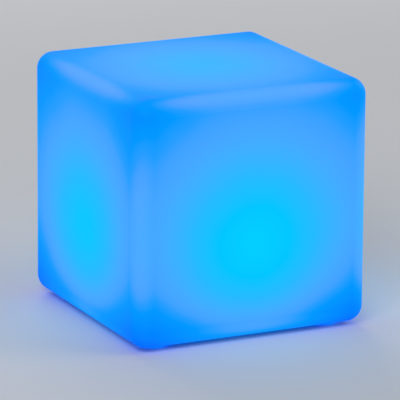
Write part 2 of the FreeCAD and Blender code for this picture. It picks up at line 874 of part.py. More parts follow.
def wire_connectors():
    """The battery's and the LED cable's connectors on the control board."""
    made = [
        block(
            f"connector_{i}",
            "connector_width",
            "connector_length",
            "connector_height",
            "connector_x",
            f"control_y {sign} connector_offset",
            BOARD_TOP,
        )
        for i, sign in enumerate("+-")
    ]
    return node(group("wire_connectors", made), "wire_connectors")


# --- the battery ----------------------------------------------------------------------------------


def cell_rows():
    return [(i, f"battery_y {sign} cell_spacing / 2") for i, sign in enumerate("-+")]


def battery_cells():
    made = [cylinder_along_x(f"cell_{i}", "cell_radius", "cell_length", y, CELL_AXIS) for i, y in cell_rows()]
    return node(group("battery_cells", made), "battery_cells")


def battery_cradle():
    """The tray that the cells lie in, with an ear on each side for the clamp band."""
    width = "(cell_spacing + 2 * cell_radius + 2 * cradle_margin)"
    tray = block("cradle_tray", "cell_length", width, "cradle_height", "0", "battery_y", FLANGE_TOP)
    ears = block(
        "cradle_ears",
        "clamp_width",
        f"{width} + 2 * clamp_ear",
        "cradle_height",
        "clamp_x",
        "battery_y",
        FLANGE_TOP,
    )
    hollows = [
        cylinder_along_x(f"cradle_hollow_{i}", "cell_radius + cell_gap", "cell_length", y, CELL_AXIS)
        for i, y in cell_rows()
    ]
    threads = [
        cylinder(
            f"clamp_thread_{i}",
            "m_three_radius + fit_gap",
            "clamp_screw_length - clamp_thickness",
            x,
            y,
            f"{FLANGE_TOP} + cradle_height - clamp_screw_length + clamp_thickness",
        )
        for i, x, y in clamp_screw_spots()
    ]
    blank = fuse("cradle_blank", [tray, ears])
    return node(cut("battery_cradle", blank, [*hollows, *threads]), "battery_cradle")


def clamp_screw_spots():
    half = "(cell_spacing / 2 + cell_radius + cradle_margin + clamp_ear / 2)"
    return [(i, "clamp_x", f"battery_y {sign} {half}") for i, sign in enumerate("-+")]


def battery_clamp():
    """A bent steel band over the cells, screwed down to the cradle's ears."""
    seat = f"({FLANGE_TOP} + cradle_height)"
    cell_top = f"({CELL_AXIS} + cell_radius + cell_gap)"
    inner_width = "(cell_spacing + 2 * cell_radius + 2 * cradle_margin)"
    outer_width = f"({inner_width} + 2 * clamp_ear)"
    bridge = block(
        "clamp_bridge",
        "clamp_width",
        f"{inner_width}",
        f"{cell_top} + clamp_thickness - {seat}",
        "clamp_x",
        "battery_y",
        seat,
    )
    feet = block("clamp_feet", "clamp_width", outer_width, "clamp_thickness", "clamp_x", "battery_y", seat)
    hollow = block(
        "clamp_hollow",
        "clamp_width",
        f"{inner_width} - 2 * clamp_thickness",
        f"{cell_top} - {seat}",
        "clamp_x",
        "battery_y",
        seat,
    )
    holes = [
        cylinder(f"clamp_hole_{i}", "m_three_radius + fit_gap", "clamp_thickness", x, y, seat)
        for i, x, y in clamp_screw_spots()
    ]
    return node(cut("battery_clamp", fuse("clamp_blank", [bridge, feet]), [hollow, *holes]), "battery_clamp")


def cell_links():
    """Nickel strips welded across the cells' ends."""
    made = [
        block(
            f"link_{i}",
            "link_thickness",
            "cell_spacing + cell_radius",
            "link_width",
            f"{sign}(cell_length / 2 + link_thickness / 2)",
            "battery_y",
            f"{CELL_AXIS} - link_width / 2",
        )
        for i, sign in enumerate(("-", ""))
    ]
    return node(group("cell_links", made), "cell_links")


# --- wires ------------------------------------------------------------------------------------------


def smooth_path(points):
    """Straight runs joined by tangent arcs, each as large as its two runs allow."""
    share = 0.45
    edges = []
    start = points[0]
    for before, corner, after in zip(points, points[1:], points[2:]):
        back, ahead = (before - corner), (after - corner)
        shorter = min(back.Length, ahead.Length)
        back.normalize()
        ahead.normalize()
        half_turn = (math.pi - back.getAngle(ahead)) / 2
        reach = share * shorter
        radius = reach / math.tan(half_turn)
        bisector = back + ahead
        bisector.normalize()
        middle = corner + bisector * (radius / math.cos(half_turn) - radius)
        first, last = corner + back * reach, corner + ahead * reach
        edges.append(Part.LineSegment(start, first).toShape())
        edges.append(Part.Arc(first, middle, last).toShape())
        start = last
    edges.append(Part.LineSegment(start, points[-1]).toShape())
    return Part.Wire(edges)


def wire(label, points, radius):
    """A round wire along the points. Its volume is compared with its section times its length."""
    path = smooth_path([V(*(number(c) for c in point)) for point in points])
    first = path.Edges[0]
    thickness = number(radius)
    section = Part.Wire([Part.Circle(first.Vertexes[0].Point, first.tangentAt(0), thickness).toShape()])
    solid = path.makePipeShell([section], True, False)
    expected = math.pi * thickness**2 * path.Length
    print(f"{label}: {path.Length:.1f} mm long, volume ratio {solid.Volume / expected:.4f}")
    piece = doc.addObject("Part::Feature", label)
    piece.Shape = solid
    return node(piece, label)


def battery_leads():
    """Two wires from the battery's ends to the nearer connector on the board."""
    wire_z = f"{BOARD_TOP} + connector_height / 2"
    face_x = "connector_x + connector_width / 2"
    face_y = "control_y + connector_offset + connector_length / 2"
    cell_y = "battery_y - cell_spacing / 2"
    red_y = "control_y + connector_offset + 2 * route_step"
    wire(
        "battery_lead_red",
        [
            (LINK_X, cell_y, CELL_AXIS),
            (f"{LINK_X} + 5 * route_step", cell_y, CELL_AXIS),
            (f"{LINK_X} + 7 * route_step", f"{cell_y} - 14 * route_step", f"{CELL_AXIS} + 4 * route_step"),
            (f"{LINK_X} + 6 * route_step", f"{red_y} + 8 * route_step", wire_z),
            (f"{face_x} + 8 * route_step", red_y, wire_z),
            (face_x, red_y, wire_z),
        ],
        "lead_radius",
    )
    wire(
        "battery_lead_black",
        [
            (f"-{LINK_X}", cell_y, CELL_AXIS),
            (f"-{LINK_X} - 6 * route_step", cell_y, CELL_AXIS),
            (f"-{LINK_X} - 4 * route_step", f"{cell_y} - 16 * route_step", f"{BOARD_TOP} + 7 * route_step"),
            ("-16 * route_step", f"{face_y} + 14 * route_step", f"{BOARD_TOP} + 9 * route_step"),
            ("10 * route_step", f"{face_y} + 12 * route_step", f"{BOARD_TOP} + 10 * route_step"),
            ("connector_x", f"{face_y} + 10 * route_step", wire_z),
            ("connector_x", face_y, wire_z),
        ],
        "lead_radius",
    )


def led_cable():
    """The sheathed cable that climbs from the board to the LED board's connector."""
    face_x = "connector_x + connector_width / 2"
    face_y = "control_y - connector_offset"
    wire_z = f"{BOARD_TOP} + connector_height / 2"
    upper_z = f"{LED_BOARD_BOTTOM} - connector_height / 2"
    return wire(
        "led_cable",
        [
            (face_x, face_y, wire_z),
            (f"{face_x} + 8 * route_step", face_y, wire_z),
            (f"{face_x} + 11 * route_step", f"{face_y} + 4 * route_step", f"{wire_z} + 8 * route_step"),
            (f"{face_x} + route_step", "control_y", upper_z),
            ("led_connector_x + connector_length / 2", "control_y", upper_z),
        ],
        "cable_radius",
    )


# --- the light source -----------------------------------------------------------------------------


def led_board():
    board = cylinder("led_board_blank", "led_board_radius", "board_thickness", z=LED_BOARD_BOTTOM)
    holes = [
        cylinder(f"led_hole_{i}", "m_three_radius + hole_gap", "board_thickness", x, y, LED_BOARD_BOTTOM)
        for i, x, y in led_post_spots()
    ]
    return node(cut("led_board", board, holes), "led_board")


def led_packages():
    """Two rings of square LEDs."""
    rings = [(INNER_LEDS, "led_ring_inner", 0.0), (OUTER_LEDS, "led_ring_outer", 15.0)]
    made = [
        block(f"led_{circle}_{i}", "led_side", "led_side", "led_height", x, y, LED_BOARD_TOP)
        for count, circle, first_angle in rings
        for i, x, y in around(count, circle, first_angle)
    ]
    return node(group("led_packages", made), "led_packages")


def led_connector():
    return node(
        block(
            "led_connector",
            "connector_length",
            "connector_width",
            "connector_height",
            "led_connector_x",
            "control_y",
            f"{LED_BOARD_BOTTOM} - connector_height",
        ),
        "led_connector",
    )


def remote_receiver():
    """The infrared receiver, in the middle of the LED board."""
    return node(
        block("remote_receiver", "receiver_side", "receiver_side", "receiver_height", z=LED_BOARD_TOP),
        "remote_receiver",
    )


def dome_seal():
    ring = cylinder("dome_seal_disc", "cup_radius", "dome_seal_thickness", z=CUP_RIM)
    middle = cylinder("dome_seal_middle", "cup_radius - cup_wall", "dome_seal_thickness", z=CUP_RIM)
    return node(cut("dome_seal", ring, [middle]), "dome_seal")


def lens_dome():
    """The frosted dome: a flat flange on the cup's rim and a shallow vault turned about Z."""
    foot = cylinder("dome_foot", "cup_radius", "dome_flange", z=DOME_FOOT)
    vaults = []
    for name, radius, rise in (
        ("dome_outer", "dome_radius + dome_wall", "dome_rise + dome_wall"),
        ("dome_inner", "dome_radius", "dome_rise"),
    ):
        vaults.append(vault(name, radius, rise))
    throat = cylinder("dome_throat", "dome_radius", "dome_flange", z=DOME_FOOT)
    holes = [
        cylinder(f"dome_hole_{i}", "m_three_radius + hole_gap", "dome_flange", x, y, DOME_FOOT)
        for i, x, y in dome_screw_spots()
    ]
    notches = [
        cylinder(f"dome_notch_{i}", "m_three_head_radius + hole_gap", "dome_rise", x, y, DOME_FLANGE_TOP)
        for i, x, y in dome_screw_spots()
    ]
    outer, inner = vaults
    blank = cut("dome_blank", fuse("dome_solid", [foot, outer]), [inner, throat, *holes, *notches])
    return node(blank, "lens_dome")


def vault(name, radius, rise):
    """A spherical cap on the dome's flange: the part of a ball above it."""
    ball = doc.addObject("Part::Sphere", name + "_ball")
    ball_radius = f"(({radius}) * ({radius}) + ({rise}) * ({rise})) / (2 * ({rise}))"
    bind(ball, Radius=ball_radius)
    place(ball, z=f"{DOME_FLANGE_TOP} + ({rise}) - {ball_radius}")
    slab = cylinder(name + "_slab", radius, rise, z=DOME_FLANGE_TOP)
    cap = doc.addObject("Part::Common", name)
    cap.Base = ball
    cap.Tool = slab
    return cap


def write_parts():
    """Checks every object, then writes each sub-part to its own file."""
    sheet.clear(SPARE_CELL)
    doc.recompute()
    for thing in doc.Objects:
        if "Invalid" in thing.State or "Error" in thing.State:
            raise RuntimeError(f"{thing.Name} did not compute: {thing.State}")
    os.makedirs("parts", exist_ok=True)
    for piece in nodes:
        shape = piece.Shape
        if shape.isNull() or not shape.isValid() or not shape.Solids:
            raise RuntimeError(f"{piece.Label} has no valid solid")
        shape.exportStep(f"parts/{piece.Label}.step")
    print(f"{len(nodes)} sub-parts written")


shell()
threaded_inserts()
flange_gasket()
module_base()
screw_row(
    "flange_screws",
    around(FLANGE_SCREWS, "flange_screw_circle"),
    FLANGE_BOTTOM,
    "m_four",
    "m_four_length",
    head_down=True,
)
power_button()
button_seal()
switch_plunger()
push_switch()
charge_jack()
jack_pin()
jack_cover()
cover_web()
cover_anchor()
lamp_lens()
charge_lamp()
control_board()
screw_row("board_screws", board_post_spots(), BOARD_TOP, "m_three", "m_three_length")
board_parts()
wire_connectors()
battery_cells()
battery_cradle()
battery_clamp()
screw_row(
    "clamp_screws",
    clamp_screw_spots(),
    f"({FLANGE_TOP} + cradle_height + clamp_thickness)",
    "m_three",
    "clamp_screw_length",
)
cell_links()
battery_leads()
led_cable()
led_board()
led_packages()
screw_row("led_board_screws", led_post_spots(), LED_BOARD_TOP, "m_three", "m_three_length")
led_connector()
remote_receiver()
dome_seal()
lens_dome()
screw_row("dome_screws", dome_screw_spots(), DOME_FLANGE_TOP, "m_three", "m_three_length")
write_parts()
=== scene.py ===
# %% [markdown]
# # A cube light that glows in the dark
#
# This lesson dresses a CAD model of a cube light for a picture. The cube is one hollow moulding of
# milky plastic. A module in its underside holds the battery, the button, the charging jack and a
# board of LEDs, whose light fills the cube and leaves it through the walls.
#
# The CAD pieces already have their true shapes and places, so most of the work is finishes. A few
# pieces that CAD leaves plain are modelled here: the bending web of the rubber cover's strap, the
# grip ribs on its tab, the mark on the button, the relief on the module's flange, and the small
# details of the electronics.

# %% Load the frame
import json
import math

import bpy
from mathutils import Euler, Matrix, Vector


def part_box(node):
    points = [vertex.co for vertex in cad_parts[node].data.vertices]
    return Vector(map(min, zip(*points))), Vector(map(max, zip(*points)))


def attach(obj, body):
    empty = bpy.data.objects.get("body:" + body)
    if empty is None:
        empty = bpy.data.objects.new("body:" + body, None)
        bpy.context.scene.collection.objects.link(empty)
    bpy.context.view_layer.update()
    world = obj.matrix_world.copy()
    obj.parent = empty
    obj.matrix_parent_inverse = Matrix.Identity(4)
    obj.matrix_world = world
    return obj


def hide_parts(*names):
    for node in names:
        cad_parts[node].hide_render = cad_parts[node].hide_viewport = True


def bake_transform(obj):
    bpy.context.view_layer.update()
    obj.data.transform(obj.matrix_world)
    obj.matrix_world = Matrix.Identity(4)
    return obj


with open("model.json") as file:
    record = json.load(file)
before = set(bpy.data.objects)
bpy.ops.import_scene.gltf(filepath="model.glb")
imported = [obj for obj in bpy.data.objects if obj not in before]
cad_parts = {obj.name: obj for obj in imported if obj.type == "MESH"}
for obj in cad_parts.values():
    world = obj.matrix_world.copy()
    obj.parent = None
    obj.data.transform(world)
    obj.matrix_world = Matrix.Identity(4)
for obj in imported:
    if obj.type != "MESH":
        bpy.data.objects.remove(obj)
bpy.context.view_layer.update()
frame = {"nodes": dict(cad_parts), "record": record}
nodes = frame["nodes"]
MM = 0.001

# %% [markdown]
# ## Building with nodes
#
# A material is a small network: coordinates go in on the left, and colour, roughness and surface
# relief come out on the right. The same few moves come back in each network: adding a node with its
# settings, joining two sockets, and sums on numbers and vectors. They could be written out each
# time. A few short helpers keep the cells below easy to read instead.


# %% Helpers for networks
def join(tree, source, target):
    """Joins an output to an input, or puts a plain value into that input."""
    if isinstance(source, bpy.types.NodeSocket):
        tree.links.new(source, target)
    else:
        target.default_value = source


def add_node(tree, kind, inputs=None, **settings):
    """A new node with its settings. Each input that is named gets a value or another's output."""
    made = tree.nodes.new(kind)
    for name, value in settings.items():
        setattr(made, name, value)
    for name, value in (inputs or {}).items():
        join(tree, value, made.inputs[name])
    return made


def on_piece(tree):
    """The place of a point in its piece's own coordinates."""
    return add_node(tree, "ShaderNodeTexCoord").outputs["Object"]


def split(tree, vector):
    """The three numbers of a vector."""
    return add_node(tree, "ShaderNodeSeparateXYZ", {"Vector": vector}).outputs


print("helpers for networks ready")


# %% Helpers for sums
def sums(tree, operation, first, second=0.0, third=0.0):
    """One Math node. Each number is a value or another node's output."""
    made = add_node(tree, "ShaderNodeMath", operation=operation)
    for socket, value in zip(made.inputs, (first, second, third)):
        join(tree, value, socket)
    return made.outputs["Value"]


def vector_sums(tree, operation, first, second=(0.0, 0.0, 0.0)):
    """One Vector Math node. A length and a dot product give a number, all else gives a vector."""
    made = add_node(tree, "ShaderNodeVectorMath", operation=operation)
    for socket, value in zip(made.inputs, (first, second)):
        join(tree, value, socket)
    return made.outputs["Value" if operation in ("LENGTH", "DOT_PRODUCT") else "Vector"]


def scaled(tree, vector, factor):
    """A vector or a colour times a number."""
    made = add_node(tree, "ShaderNodeVectorMath", operation="SCALE")
    join(tree, vector, made.inputs["Vector"])
    join(tree, factor, made.inputs["Scale"])
    return made.outputs["Vector"]


def map_range(tree, value, start, end, low=0.0, high=1.0, soft=False):
    """A number that goes from low to high while the value goes from start to end."""
    kind = "SMOOTHSTEP" if soft else "LINEAR"
    made = add_node(tree, "ShaderNodeMapRange", interpolation_type=kind)
    for socket, given in zip(made.inputs, (value, start, end, low, high)):
        join(tree, given, socket)
    return made.outputs["Result"]


print("helpers for sums ready")

# %% [markdown]
# ## The grain that every moulded and metal surface has
#
# No real surface is one flat colour. A mould leaves a fine spark texture, metal keeps the marks of
# the tool that turned it, and both show soft patches where they were handled. Each material could
# have its own network for that. The effect is the same everywhere apart from its size and strength,
# so it's one node group with inputs, placed in each material with its own values. Two layers of
# noise make it: a coarse one that shifts colour and roughness in patches, and a fine one that
# becomes relief.

# %% The grain group
GRAIN_INPUTS = (
    ("Color", "NodeSocketColor", (0.8, 0.8, 0.8, 1.0)),
    ("Roughness", "NodeSocketFloat", 0.5),
    ("Patch Size", "NodeSocketFloat", 40.0),
    ("Patch Strength", "NodeSocketFloat", 0.08),
    ("Grain Size", "NodeSocketFloat", 1500.0),
    ("Grain Depth", "NodeSocketFloat", 0.05),
    ("Stretch", "NodeSocketVector", (1.0, 1.0, 1.0)),
)
PATCH_DETAIL = 3.0
GRAIN_DETAIL = 2.0
NOISE_MIDDLE = 0.5
COLOUR_SWING = 2.0
ROUGHNESS_SWING = 1.5
GRAIN_RELIEF = 0.2 * MM


def noise(tree, place, scale, detail):
    """Soft random patches between 0 and 1."""
    made = add_node(tree, "ShaderNodeTexNoise", {"Vector": place, "Scale": scale, "Detail": detail})
    return made.outputs["Fac"]


def add_outputs(group, **kinds):
    """Gives a node group its outputs, and the node inside that collects them."""
    for name, kind in kinds.items():
        group.interface.new_socket(name, in_out="OUTPUT", socket_type="NodeSocket" + kind)
    return add_node(group, "NodeGroupOutput").inputs


def grain_group():
    """Colour and roughness in patches, and the normal of a fine relief."""
    group = bpy.data.node_groups.new("surface_grain", "ShaderNodeTree")
    for name, kind, value in GRAIN_INPUTS:
        group.interface.new_socket(name, in_out="INPUT", socket_type=kind).default_value = value
    end = add_outputs(group, Color="Color", Roughness="Float", Normal="Vector")
    start = add_node(group, "NodeGroupInput").outputs
    place = vector_sums(group, "MULTIPLY", on_piece(group), start["Stretch"])
    patches = noise(group, place, start["Patch Size"], PATCH_DETAIL)
    grain = noise(group, place, start["Grain Size"], GRAIN_DETAIL)
    centred = sums(group, "SUBTRACT", patches, NOISE_MIDDLE)
    swing = sums(group, "MULTIPLY", centred, start["Patch Strength"])
    brighter = sums(group, "MULTIPLY_ADD", swing, COLOUR_SWING, 1.0)
    rougher = sums(group, "MULTIPLY_ADD", swing, ROUGHNESS_SWING, start["Roughness"])
    relief = {"Strength": start["Grain Depth"], "Distance": GRAIN_RELIEF, "Height": grain}
    bump = add_node(group, "ShaderNodeBump", relief)
    join(group, scaled(group, start["Color"], brighter), end["Color"])
    join(group, rougher, end["Roughness"])
    join(group, bump.outputs["Normal"], end["Normal"])
    return group


GRAIN = grain_group()
print(f"{GRAIN.name}: {len(GRAIN.nodes)} nodes")

# %% [markdown]
# ## Plain finishes
#
# Most pieces are moulded plastic, rubber, wire insulation, brass or steel. Each takes the grain
# group with its own colour, roughness, patch and grain. A function for every material would hide
# how little they differ. A table makes them instead, so its values can be compared side by side.
# Metal has a stretched grain, because a tool pulls its marks in one direction.

# %% Table of plain finishes
STRETCH_NONE = (1.0, 1.0, 1.0)
STRETCH_UP = (1.0, 1.0, 0.04)
STRETCH_ACROSS = (0.04, 1.0, 1.0)

# slot: colour, roughness, metallic, patch size, patch strength, grain size, grain depth, stretch
PLAIN = {
    "insert_brass": ((0.72, 0.50, 0.20), 0.30, 1.0, 300, 0.20, 2500, 0.30, STRETCH_UP),
    "seal_rubber": ((0.62, 0.66, 0.70), 0.62, 0.0, 90, 0.10, 2200, 0.15, STRETCH_NONE),
    "housing_plastic": ((0.80, 0.82, 0.84), 0.48, 0.0, 60, 0.05, 1800, 0.35, STRETCH_NONE),
    "screw_steel": ((0.60, 0.61, 0.63), 0.28, 1.0, 500, 0.25, 4000, 0.25, STRETCH_UP),
    "button_plastic": ((0.70, 0.73, 0.76), 0.30, 0.0, 120, 0.05, 2600, 0.10, STRETCH_NONE),
    "plunger_plastic": ((0.06, 0.06, 0.07), 0.40, 0.0, 400, 0.15, 4000, 0.10, STRETCH_NONE),
    "switch_plastic": ((0.03, 0.03, 0.035), 0.45, 0.0, 300, 0.20, 3500, 0.25, STRETCH_NONE),
    "jack_plastic": ((0.025, 0.025, 0.03), 0.42, 0.0, 250, 0.20, 3200, 0.20, STRETCH_NONE),
    "contact_nickel": ((0.66, 0.64, 0.58), 0.26, 1.0, 200, 0.20, 3000, 0.20, STRETCH_ACROSS),
    "cover_rubber": ((0.055, 0.06, 0.065), 0.66, 0.0, 200, 0.20, 2600, 0.30, STRETCH_NONE),
    "component_plastic": ((0.035, 0.035, 0.04), 0.50, 0.0, 300, 0.25, 3000, 0.25, STRETCH_NONE),
    "connector_plastic": ((0.78, 0.74, 0.62), 0.40, 0.0, 200, 0.08, 3000, 0.10, STRETCH_NONE),
    "cradle_plastic": ((0.05, 0.055, 0.06), 0.52, 0.0, 120, 0.15, 2200, 0.35, STRETCH_NONE),
    "clamp_steel": ((0.58, 0.60, 0.63), 0.32, 1.0, 160, 0.20, 2600, 0.20, STRETCH_ACROSS),
    "lead_red": ((0.55, 0.02, 0.015), 0.42, 0.0, 150, 0.10, 2500, 0.10, STRETCH_NONE),
    "lead_black": ((0.012, 0.012, 0.013), 0.45, 0.0, 150, 0.20, 2500, 0.10, STRETCH_NONE),
    "cable_sheath": ((0.70, 0.70, 0.66), 0.50, 0.0, 150, 0.08, 2500, 0.15, STRETCH_NONE),
    "receiver_plastic": ((0.03, 0.012, 0.016), 0.14, 0.0, 200, 0.15, 2000, 0.05, STRETCH_NONE),
}


def plain_material(name, colour, roughness, metallic, patch, patchy, grain_size, depth, stretch):
    """A material of one colour with the grain group in it."""
    made = bpy.data.materials.new(name)
    made.use_nodes = True
    tree = made.node_tree
    given = {
        "Color": (*colour, 1.0),
        "Roughness": roughness,
        "Patch Size": patch,
        "Patch Strength": patchy,
        "Grain Size": grain_size,
        "Grain Depth": depth,
        "Stretch": stretch,
    }
    grain = add_node(tree, "ShaderNodeGroup", given, node_tree=GRAIN, name="Grain").outputs
    shader = tree.nodes["Principled BSDF"].inputs
    shader["Metallic"].default_value = metallic
    join(tree, grain["Color"], shader["Base Color"])
    join(tree, grain["Roughness"], shader["Roughness"])
    join(tree, grain["Normal"], shader["Normal"])
    return made


FINISHES = {slot: plain_material(slot, *values) for slot, values in PLAIN.items()}
print(f"{len(FINISHES)} plain finishes")

# %% [markdown]
# ## The glow of the shell
#
# The light source sits low inside the cube and shines up and out. A wall is brightest where it is
# nearest to the source, so each side has a hot patch a little below its middle, and the top has a
# softer one. Light falls off a little towards the edges and most of all in the corners, where three
# walls turn away from the source. Low down, near the underside, the walls get little light.
#
# So brightness depends only on where a point is and which way its wall faces. The source's
# direction and distance give the main patch, two terms that grow towards the edges and the corners
# take light away, and one more fades the lowest part. A painted highlight makes the upper rounded
# edges, which face the sky, a little lighter, and the same term paints shade on the lower rounded
# edges. The right side comes out a little lighter too. The flat underside is dimmer than all the
# rest, because the source shines away from it. The result is a number for each point of the skin,
# about 0.2 in a corner and 0.6 at the hottest. A painted texture would do this too, but a formula
# stays sharp at any size and needs no picture.
#
# Places in the formula are in sides of the cube, from the middle of its underside.

# %% The numbers of the glow
SIDE = 400 * MM
FOOT_HEIGHT = 6 * MM
SOURCE_PLACE = (0.0, -0.012, 0.358)
MIDDLE = (0.0, 0.0, 0.49)
BASE_LIGHT = 0.259
SOURCE_LIGHT = 0.0779
FALL_OFF = 3.186
LOW_SHADE = 0.172
LOW_REACH = 0.178
EDGE_SHADE = 0.0072
CORNER_SHADE = 0.108
TOP_SHADE = 0.022
RIGHT_GAIN = 0.0235
# Painted light: this gain paints a highlight on the upper rounded edges, which face the sky, and paints
# shade on the lower ones.
PAINTED_EDGE_LIGHT_GAIN = 0.044
EDGE_LAVENDER = 0.3
# Painted highlight: this tint makes the upper rounded edges paler and the lower ones less so.
PAINTED_EDGE_HIGHLIGHT_TINT = 0.5
UNDERSIDE_SHADE = 0.62
DIM_FROM = -0.9
STRAIGHT_DOWN = -1.0
print(f"source {SOURCE_PLACE[2] * SIDE / MM:.0f} mm above the underside")


# %% The terms of the glow
def straight_light(group, place, facing):
    """Light from the source: strongest close to it, and where the wall is square to it."""
    ray = vector_sums(group, "SUBTRACT", place, SOURCE_PLACE)
    reach = vector_sums(group, "LENGTH", ray)
    square_on = sums(group, "ABSOLUTE", vector_sums(group, "DOT_PRODUCT", ray, facing))
    return sums(group, "DIVIDE", square_on, sums(group, "POWER", reach, FALL_OFF))


def edges_and_corners(group, place):
    """One number that goes from 0 in a face to 1 at its edge, and one that is 1 in a corner."""
    from_middle = vector_sums(group, "SUBTRACT", place, MIDDLE)
    doubled = vector_sums(group, "MULTIPLY", from_middle, (2.0, 2.0, 2.0))
    squared = vector_sums(group, "MULTIPLY", doubled, doubled)
    x, y, z = split(group, vector_sums(group, "MULTIPLY", squared, squared))
    near_edge = sums(group, "SUBTRACT", sums(group, "ADD", sums(group, "ADD", x, y), z), 1.0)
    near_corner = sums(group, "MULTIPLY", sums(group, "MULTIPLY", x, y), z)
    return near_edge, near_corner


def rounding(group, facing):
    """A number that is 0 on a flat face and 1 in the middle of a rounded edge."""
    squared = vector_sums(group, "MULTIPLY", facing, facing)
    flatness = vector_sums(group, "DOT_PRODUCT", squared, squared)
    return sums(group, "MULTIPLY_ADD", flatness, -2.0, 2.0)


print("terms of the glow ready")


# %% The glow group
def glow_group():
    """Brightness, the lavender tint of the rounded edges, and the dimming of the underside."""
    group = bpy.data.node_groups.new("light_through_wall", "ShaderNodeTree")
    end = add_outputs(group, Brightness="Float", Lavender="Float", Dimming="Float")
    facing = add_node(group, "ShaderNodeNewGeometry").outputs["Normal"]
    above_feet = vector_sums(group, "SUBTRACT", on_piece(group), (0.0, 0.0, FOOT_HEIGHT))
    place = vector_sums(group, "DIVIDE", above_feet, (SIDE, SIDE, SIDE))
    height = split(group, place)["Z"]
    low = sums(group, "EXPONENT", sums(group, "DIVIDE", height, -LOW_REACH))
    near_edge, near_corner = edges_and_corners(group, place)
    rightward, _, upward = split(group, facing)
    rounded = rounding(group, facing)
    # Painted light: positive on the upper rounded edges, which get a painted highlight, and negative on
    # the lower ones, which get painted shade.
    painted_edge_light = sums(group, "MULTIPLY", rounded, upward)

    direct = straight_light(group, place, facing)
    lit = sums(group, "MULTIPLY_ADD", direct, SOURCE_LIGHT, BASE_LIGHT)
    for term, amount in (
        (low, -LOW_SHADE),
        (near_edge, -EDGE_SHADE),
        (near_corner, -CORNER_SHADE),
        (sums(group, "MAXIMUM", upward, 0.0), -TOP_SHADE),
        (rightward, RIGHT_GAIN),
        # Painted highlight on the upper rounded edges, painted shade on the lower ones.
        (painted_edge_light, PAINTED_EDGE_LIGHT_GAIN),
    ):
        lit = sums(group, "MULTIPLY_ADD", term, amount, lit)
    join(group, lit, end["Brightness"])
    lavender = sums(group, "MULTIPLY_ADD", rounded, EDGE_LAVENDER, 1.0)
    # The second term is a painted highlight tint on the upper rounded edges.
    lavender = sums(group, "MULTIPLY_ADD", painted_edge_light, PAINTED_EDGE_HIGHLIGHT_TINT, lavender)
    join(group, lavender, end["Lavender"])
    underside = map_range(group, upward, DIM_FROM, STRAIGHT_DOWN, soft=True)
    dimming = sums(group, "MULTIPLY_ADD", underside, -UNDERSIDE_SHADE, 1.0)
    join(group, dimming, end["Dimming"])
    return group


GLOW = glow_group()
print(f"{GLOW.name}: {len(GLOW.nodes)} nodes")

# %% [markdown]
# ## Colour of the glow
#
# Blue LEDs through milky plastic look deep blue where little light gets out, paler where more does,
# and cyan where it is strongest. One ramp of colours could give all of that, but then every change
# of one tone would disturb the others. Here green simply follows the brightness and blue stays the
# same. Red comes in with the middle tones, where the plastic's own whiteness mixes in, and drops
# out again in the hottest patch, so a ramp with a hump gives it. The rounded edges scatter a little
# more, which makes them lavender, and the upper ones get a paler painted highlight on top of that.

# %% The numbers of the shell's colour
SKIN_COLOUR = (0.0, 0.004, 0.24)
SKIN_GLOSS = 0.025
CLOUD_SCALE = 14.0
CLOUD_DETAIL = 2.0
CLOUD_SWING = 0.016
DARKEST = 0.2
BRIGHTEST = 0.6
RED_STOPS = ((0.28, 0.0), (0.34, 0.07), (0.385, 0.2), (0.44, 0.27), (0.52, 0.25), (0.72, 0.08), (0.9, 0.0))
RED_SHARE = 0.22
BLUE = 0.93
print(f"red in {len(RED_STOPS)} stops")


# %% The shell's material
def ramp(tree, value, stops, interpolation="LINEAR"):
    """Turns a number into a colour. Each stop is a position and the colour there."""
    made = add_node(tree, "ShaderNodeValToRGB", {"Fac": value})
    made.color_ramp.interpolation = interpolation
    elements = made.color_ramp.elements
    elements[0].position = stops[0][0]
    elements[1].position = stops[-1][0]
    for position, _ in stops[1:-1]:
        elements.new(position)
    for element, (_, colour) in zip(elements, stops):
        element.color = (*colour, 1.0)
    return made.outputs["Color"]


def shell_material():
    """Deep blue plastic whose light is the glow, in colour."""
    made = plain_material("glowing_shell", SKIN_COLOUR, 0.55, 0.0, 22, 0.08, 700, 0.10, STRETCH_NONE)
    tree = made.node_tree
    glow = add_node(tree, "ShaderNodeGroup", node_tree=GLOW).outputs
    cloud = noise(tree, on_piece(tree), CLOUD_SCALE, CLOUD_DETAIL)
    drift = sums(tree, "MULTIPLY_ADD", cloud, CLOUD_SWING, -CLOUD_SWING / 2)
    green = sums(tree, "ADD", glow["Brightness"], drift)
    tone = map_range(tree, green, DARKEST, BRIGHTEST)
    hump = ramp(tree, tone, [(position, (red, red, red)) for position, red in RED_STOPS])
    red = sums(tree, "MULTIPLY", sums(tree, "MULTIPLY", hump, RED_SHARE), glow["Lavender"])
    mixed = add_node(tree, "ShaderNodeCombineColor", {"Red": red, "Green": green, "Blue": BLUE})
    light = scaled(tree, mixed.outputs["Color"], glow["Dimming"])
    shader = tree.nodes["Principled BSDF"].inputs
    join(tree, light, shader["Emission Color"])
    shader["Emission Strength"].default_value = 1.0
    shader["Specular IOR Level"].default_value = SKIN_GLOSS
    return made


FINISHES["shell_plastic"] = shell_material()
print(f"{FINISHES['shell_plastic'].name}: {len(FINISHES['shell_plastic'].node_tree.nodes)} nodes")

# %% [markdown]
# ## Circuit boards
#
# A bare board is glass fibre under a coloured lacquer. Copper runs under the lacquer and shows as a
# lighter shade of the same colour, in straight tracks. The tracks could be modelled or painted, but
# the boards are small and deep inside, so a pattern is enough: the mortar lines of a brick texture,
# whose rows are shifted so that the lines don't cross. The control board is green. The LED board is
# white, so that it throws light back into the cube.

# %% Board materials
TRACK_WIDTH = 0.035
TRACK_SHIFT = 0.35


